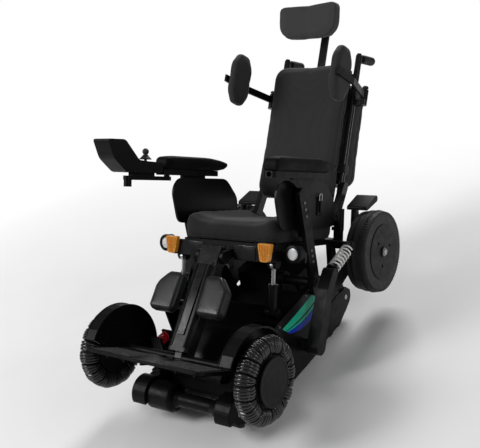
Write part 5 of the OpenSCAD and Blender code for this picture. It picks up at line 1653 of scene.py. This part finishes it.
@dataclass
class SeatSides:
    """Skirts, beam panels, bolts and caps of the side struts, and the latches of the guards."""

    strut_x: float = 254.0
    strut_low: Pair = (18.0, -24.0)
    strut_top: Pair = (-87.0, 289.0)
    bolt_shares: tuple[float, ...] = (0.3, 0.36, 0.42, 0.78, 0.85, 0.92)
    bolt: Pair = (5.2, 2.8)
    pin_x: float = 257.0
    pin_cap: Points = (
        (0, 2.6), (6, 2.6), (7, 3.6), (13, 3.4), (15.5, 2), (16, -1), (0, -1))
    pin_sides: int = 36
    guard_x: float = 216.0
    latch_at: Pair = (76.0, 250.0)
    latch: Points = ((-15, -30), (13, -34), (17, 20), (4, 32), (-11, 32))
    latch_x: Pair = (-0.4, 4.5)
    latch_rim: float = 1.8
    handle: Points = ((-8, 18), (-8, 38), (-4, 42), (4, 42), (8, 38), (8, 18))
    handle_x: float = 7.0
    handle_r: float = 2.0
    slide_low: Triple = (-5.0, -22.0, 4.0)
    slide_high: Triple = (6.0, 20.0, 9.5)
    slide_round: float = 2.2
    skirt: Points = ((-62, 104), (-30, 92), (14, 92), (50, 104), (60, 127), (-96, 127))
    skirt_x: Pair = (206.0, 211.0)
    panel: Points = ((80, 77), (148, 77), (150, 79), (150, 121), (148, 123), (62, 123))
    panel_front: Pair = (195.5, 198.5)
    rim: float = 1.2

    def build(self) -> None:
        """Hang the skirts and panels, set the bolts, turn the caps and fit the latches."""
        low, top = Vector(self.strut_low), Vector(self.strut_top)
        spots = [Vector((*low.lerp(top, share), self.strut_x)) for share in self.bolt_shares]
        for side, mirror in SIDES:
            place = mirror @ AT.seat() @ Seen.SIDE.value
            skirt = SHOP.plate(f"seat_skirt_{side}", list(self.skirt), *self.skirt_x, self.rim)
            SHOP.settle(skirt, place, "seat", COVER, "cover_gloss")
            panel = SHOP.plate(f"beam_panel_{side}", list(self.panel), *self.panel_front, self.rim)
            SHOP.settle(panel, mirror @ AT.seat() @ Seen.FRONT.value, "seat", TUBE, "cover_gloss")
            Fasteners(*self.bolt).set(f"strut_bolts_{side}", spots, place, "seat", "steel")
            cap = SHOP.lathe(f"tilt_pin_cap_{side}", list(self.pin_cap), self.pin_sides)
            SHOP.settle(cap, place @ shift(0, 0, self.pin_x), "seat", LEVER, "lever_metal", sharp=30.0)
            spot = place @ shift(*self.latch_at, self.guard_x)
            latch = SHOP.plate(f"guard_latch_{side}", list(self.latch), *self.latch_x, self.latch_rim)
            SHOP.settle(latch, spot, "seat", BOX, "box_plastic")
            bow = [Vector((u, w, self.handle_x)) * MM for u, w in self.handle]
            handle = SHOP.tube(f"latch_handle_{side}", [bow], self.handle_r * MM, fine=3)
            SHOP.settle(handle, spot, "seat", STEEL, "steel", sharp=60.0)
            slide = SHOP.block(f"latch_slide_{side}", self.slide_low, self.slide_high, self.slide_round)
            SHOP.settle(slide, spot, "seat", FRAME, "frame_metal")


@dataclass
class ControlBox:
    """Display, keys and boot folds of the hand control."""

    x: float = -233.0
    slope_at: Pair = (-399.0, 419.5)
    slope: float = -44.6
    glass_half: float = 27.0
    glass_reach: float = 35.0
    glass_corner: float = 6.0
    glass_z: Pair = (-0.4, 1.2)
    glass_rim: float = 0.6
    glass_steps: int = 2
    keys: Points = ((-247.0, -346.0), (-257.0, -346.0), (-252.0, -332.0))
    key_w: float = 386.6
    key: Points = (
        (0, 2.6), (2.6, 2.5), (3.8, 1.8), (4.2, 0.4), (4.2, -1.5), (0, -1.5))
    key_sides: int = 24
    stick: Pair = (-304.0, 384.0)
    folds: Points = (
        (0, 9), (14, 9), (16, 10.2), (14.6, 11.6), (13.4, 12), (14, 13.4), (12, 14.6), (10.6, 15),
        (11, 16.4), (9, 17.4), (7.6, 18), (7.8, 19.2), (6, 20.6), (5, 22), (0, 22))
    fold_sides: int = 40

    def build(self) -> None:
        """Set the glass, the keys and the boot."""
        tilt = AT.seat() @ shift(self.x, *self.slope_at) @ turn(self.slope, "X")
        pane = rounded_box(self.glass_half, -self.glass_reach, self.glass_reach, self.glass_corner)
        glass = SHOP.plate("display_glass", pane, *self.glass_z, self.glass_rim, self.glass_steps)
        SHOP.settle(glass, tilt, "controller", GLASS, "box_plastic")
        key = SHOP.lathe("key", list(self.key), self.key_sides)
        keys = [SHOP.copied(key, f"key_{i}", shift(x, u, self.key_w)) for i, (x, u) in enumerate(self.keys)]
        bpy.data.objects.remove(key)
        SHOP.settle(SHOP.joined(keys, "control_keys"), AT.seat(), "controller", DISC, "box_plastic")
        boot = SHOP.lathe("stick_boot_folds", list(self.folds), self.fold_sides)
        SHOP.settle(boot, AT.seat() @ shift(self.x, *self.stick), "stick", GRIP, "grip_rubber", sharp=60.0)


@dataclass
class BackFittings:
    """Grip ribs, clamp knobs, the lever of the mast, and the straps of the bag."""

    grip_at: Triple = (160.0, 35.0, 634.0)
    grip_lean: float = -76.0
    grip_r: float = 15.0
    grip_start: float = 28.0
    grip_sides: int = 32
    ribs: int = 9
    rib_start: float = 30.0
    rib_pitch: float = 8.0
    rib: Points = ((0.3, 0), (1.8, 1.5), (1.8, 4.5), (0.3, 6))
    grip_end: Points = ((1.2, 105), (-4, 109))
    grip_length: float = 110.0
    boss: Triple = (206.0, 35.0, 507.0)
    knob: Points = ((0, 15), (7, 15), (11, 12), (12, 7), (8, 3), (8, -1), (0, -1))
    knob_sides: int = 10
    strap_l: tuple[float, ...] = (190.0, 480.0)
    strap_low: Pair = (146.0, 46.0)
    strap_high: Pair = (160.0, 76.0)
    loop_low: Pair = (144.5, 20.0)
    loop_high: Pair = (176.0, 50.0)
    strap_tall: float = 30.0
    strap_round: float = 2.4
    lever: tuple[Triple, ...] = ((20, 35, 560), (34, 40, 564), (58, 50, 572))
    lever_r: float = 3.6
    mast_knob: Points = (
        (0, 12), (6, 11), (10, 7), (11, 2), (9, -4), (5, -8), (0, -9))
    mast_knob_at: Triple = (60.0, 51.0, 572.0)
    mast_knob_lean: float = 60.0
    mast_knob_sides: int = 24

    def build(self) -> None:
        """Fit both sides, then the mast's lever and its knob."""
        wave: Outline = [(0, self.grip_start), (self.grip_r, self.grip_start)]
        for i in range(self.ribs):
            start = self.rib_start + self.rib_pitch * i
            wave += [(self.grip_r + out, start + along) for out, along in self.rib]
        wave += [(self.grip_r + out, along) for out, along in self.grip_end] + [(0, self.grip_length)]
        for side, mirror in SIDES:
            place = mirror @ AT.back()
            grip = SHOP.lathe(f"grip_ribs_{side}", wave, self.grip_sides)
            lean = place @ shift(*self.grip_at) @ turn(self.grip_lean, "X")
            SHOP.settle(grip, lean, "back", GRIP, "grip_rubber", sharp=50.0)
            knob = SHOP.lathe(f"lateral_knob_{side}", list(self.knob), self.knob_sides)
            SHOP.settle(knob, place @ shift(*self.boss), f"lateral_{side}", GRIP, "grip_rubber", sharp=25.0)
            straps = []
            for low in self.strap_l:
                high = low + self.strap_tall
                for name, near, far in (("strap", self.strap_low, self.strap_high),
                                        ("strap_loop", self.loop_low, self.loop_high)):
                    straps.append(SHOP.block(
                        f"{name}_{low:.0f}", (*near, low), (*far, high), self.strap_round))
            SHOP.settle(SHOP.joined(straps, f"bag_straps_{side}"), place, "back", GRIP, "fabric")
        bent = [Vector(spot) * MM for spot in self.lever]
        lever = SHOP.tube("mast_lever", [bent], self.lever_r * MM, fine=3)
        SHOP.settle(lever, AT.back(), "back", FRAME, "frame_metal", sharp=60.0)
        knob = SHOP.lathe("mast_knob", list(self.mast_knob), self.mast_knob_sides)
        place = AT.back() @ shift(*self.mast_knob_at) @ turn(self.mast_knob_lean, "Y")
        SHOP.settle(knob, place, "back", GRIP, "grip_rubber", sharp=60.0)


@dataclass
class Studio:
    """Camera, light and floor."""

    eye: Triple = (1.5296, -1.9618, 1.4948)
    gaze: Triple = (-0.5884, 0.7122, -0.3829)
    up: Triple = (0.0, 0.3665, 0.9304)
    lens: float = 57.2
    sensor: float = 36.0
    floor_half: float = 14.0
    floor_drop: float = 0.5
    floor_tone: float = 0.82
    floor_drift: float = 1.03
    floor_patches: float = 3.0
    floor_roughness: float = 0.9
    floor_gloss: float = 0.1
    fade: Pair = (1.1, 2.6)
    sky: float = 0.16
    aim: Triple = (0.0, 0.0, 0.45)
    lamps: tuple[tuple[str, Triple, float, float], ...] = (
        ("key_light", (-2.2, -2.8, 3.0), 115.0, 1.6),
        ("side_light", (3.2, -0.6, 2.0), 26.0, 1.2),
        ("rim_light", (-0.6, 3.2, 2.9), 115.0, 1.6))

    def build(self) -> None:
        """Set the camera, then the lamps, the world and the floor."""
        scene = bpy.context.scene
        scene.view_settings.view_transform = "Standard"
        self.camera(scene)
        self.world(scene)
        for name, spot, power, size in self.lamps:
            lamp = bpy.data.lights.new(name, "AREA")
            lamp.energy = power
            lamp.size = size
            holder = bpy.data.objects.new(name, lamp)
            holder.location = spot
            holder.rotation_euler = (Vector(self.aim) - Vector(spot)).to_track_quat("-Z", "Y").to_euler()
            scene.collection.objects.link(holder)
        self.floor()

    def camera(self, scene: bpy.types.Scene) -> None:
        """Stand the camera where the photograph was taken from."""
        data = bpy.data.cameras.new("photo_camera")
        data.lens = self.lens
        data.sensor_width = self.sensor
        data.sensor_fit = "HORIZONTAL"
        holder = bpy.data.objects.new("photo_camera", data)
        back = -Vector(self.gaze).normalized()
        right = Vector(self.up).cross(back).normalized()
        rise = back.cross(right)
        turned = Matrix((right, rise, back)).transposed().to_4x4()
        holder.matrix_world = Matrix.Translation(self.eye) @ turned
        scene.collection.objects.link(holder)
        scene.camera = holder

    def world(self, scene: bpy.types.Scene) -> None:
        """White to the eye and through lenses, and a plain level of light for all else."""
        world = bpy.data.worlds.new("studio")
        world.use_nodes = True
        scene.world = world
        tree = world.node_tree
        tree.nodes.clear()
        path = tree.nodes.new("ShaderNodeLightPath")
        seen = tree.nodes.new("ShaderNodeMath")
        seen.operation = "MAXIMUM"
        tree.links.new(path.outputs["Is Camera Ray"], seen.inputs[0])
        tree.links.new(path.outputs["Is Transmission Ray"], seen.inputs[1])
        plain = tree.nodes.new("ShaderNodeBackground")
        plain.inputs["Color"].default_value = (1, 1, 1, 1)
        plain.inputs["Strength"].default_value = self.sky
        white = tree.nodes.new("ShaderNodeBackground")
        white.inputs["Color"].default_value = (1, 1, 1, 1)
        mix = tree.nodes.new("ShaderNodeMixShader")
        out = tree.nodes.new("ShaderNodeOutputWorld")
        tree.links.new(seen.outputs[0], mix.inputs["Fac"])
        tree.links.new(plain.outputs[0], mix.inputs[1])
        tree.links.new(white.outputs[0], mix.inputs[2])
        tree.links.new(mix.outputs[0], out.inputs["Surface"])

    def floor(self) -> None:
        """A pale floor that fades to white away from the chair."""
        SHOP.idle()
        bpy.ops.mesh.primitive_plane_add(size=2 * self.floor_half, location=(0, 0, -self.floor_drop * MM))
        bpy.ops.object.transform_apply(location=True)
        ground = SHOP.named("studio_floor")
        sketch = NodeSketch("studio_floor_pale")
        tone = self.floor_tone
        patches = sketch.spread(sketch.noise(self.floor_patches), 0.0, 1.0)
        sketch.paint(sketch.blend(patches, (tone,) * 3, (tone * self.floor_drift,) * 3))
        sketch.put({"Roughness": self.floor_roughness, "Specular IOR Level": self.floor_gloss})
        away = sketch.add("ShaderNodeVectorMath", operation="LENGTH")
        sketch.link(sketch.coords, away.inputs[0])
        fade = sketch.spread(away.outputs["Value"], 0.0, 1.0, *self.fade)
        glow = sketch.add("ShaderNodeEmission")
        glow.inputs["Color"].default_value = (1, 1, 1, 1)
        path = sketch.add("ShaderNodeLightPath")
        seen = sketch.math("MAXIMUM", path.outputs["Is Camera Ray"], path.outputs["Is Transmission Ray"])
        share = sketch.math("MULTIPLY", fade, seen)
        mix = sketch.add("ShaderNodeMixShader")
        sketch.link(share, mix.inputs["Fac"])
        sketch.link(sketch.shader.outputs["BSDF"], mix.inputs[1])
        sketch.link(glow.outputs[0], mix.inputs[2])
        sketch.link(mix.outputs[0], sketch.out.inputs["Surface"])
        ground.data.materials.append(sketch.material)


def dress_solids(frame: dict) -> None:
    """Give every solid that stays its finish.
    """
    for entry in frame["record"]["subparts"]:
        solid = frame["nodes"][entry["node"]]
        finish = NODE_FINISH.get(entry["node"], SLOT_FINISH[entry["material_slot"]])
        if solid.material_slots:
            for slot in solid.material_slots:
                slot.material = finish.material()
        else:
            solid.data.materials.append(finish.material())


def main() -> None:
    """Build the chair's looks in order."""
    logging.basicConfig(level=logging.INFO, format="%(name)s %(message)s")
    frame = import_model()
    Studio().build()
    dress_solids(frame)
    SoftGoods().build()
    for unit in (Springs(), SideCovers(), FrontWheels(), RearWheels(), Lamps(), LegRest(), SeatSides(),
                 ControlBox(), BackFittings()):
        unit.build()


if __name__ == "__main__":
    main()
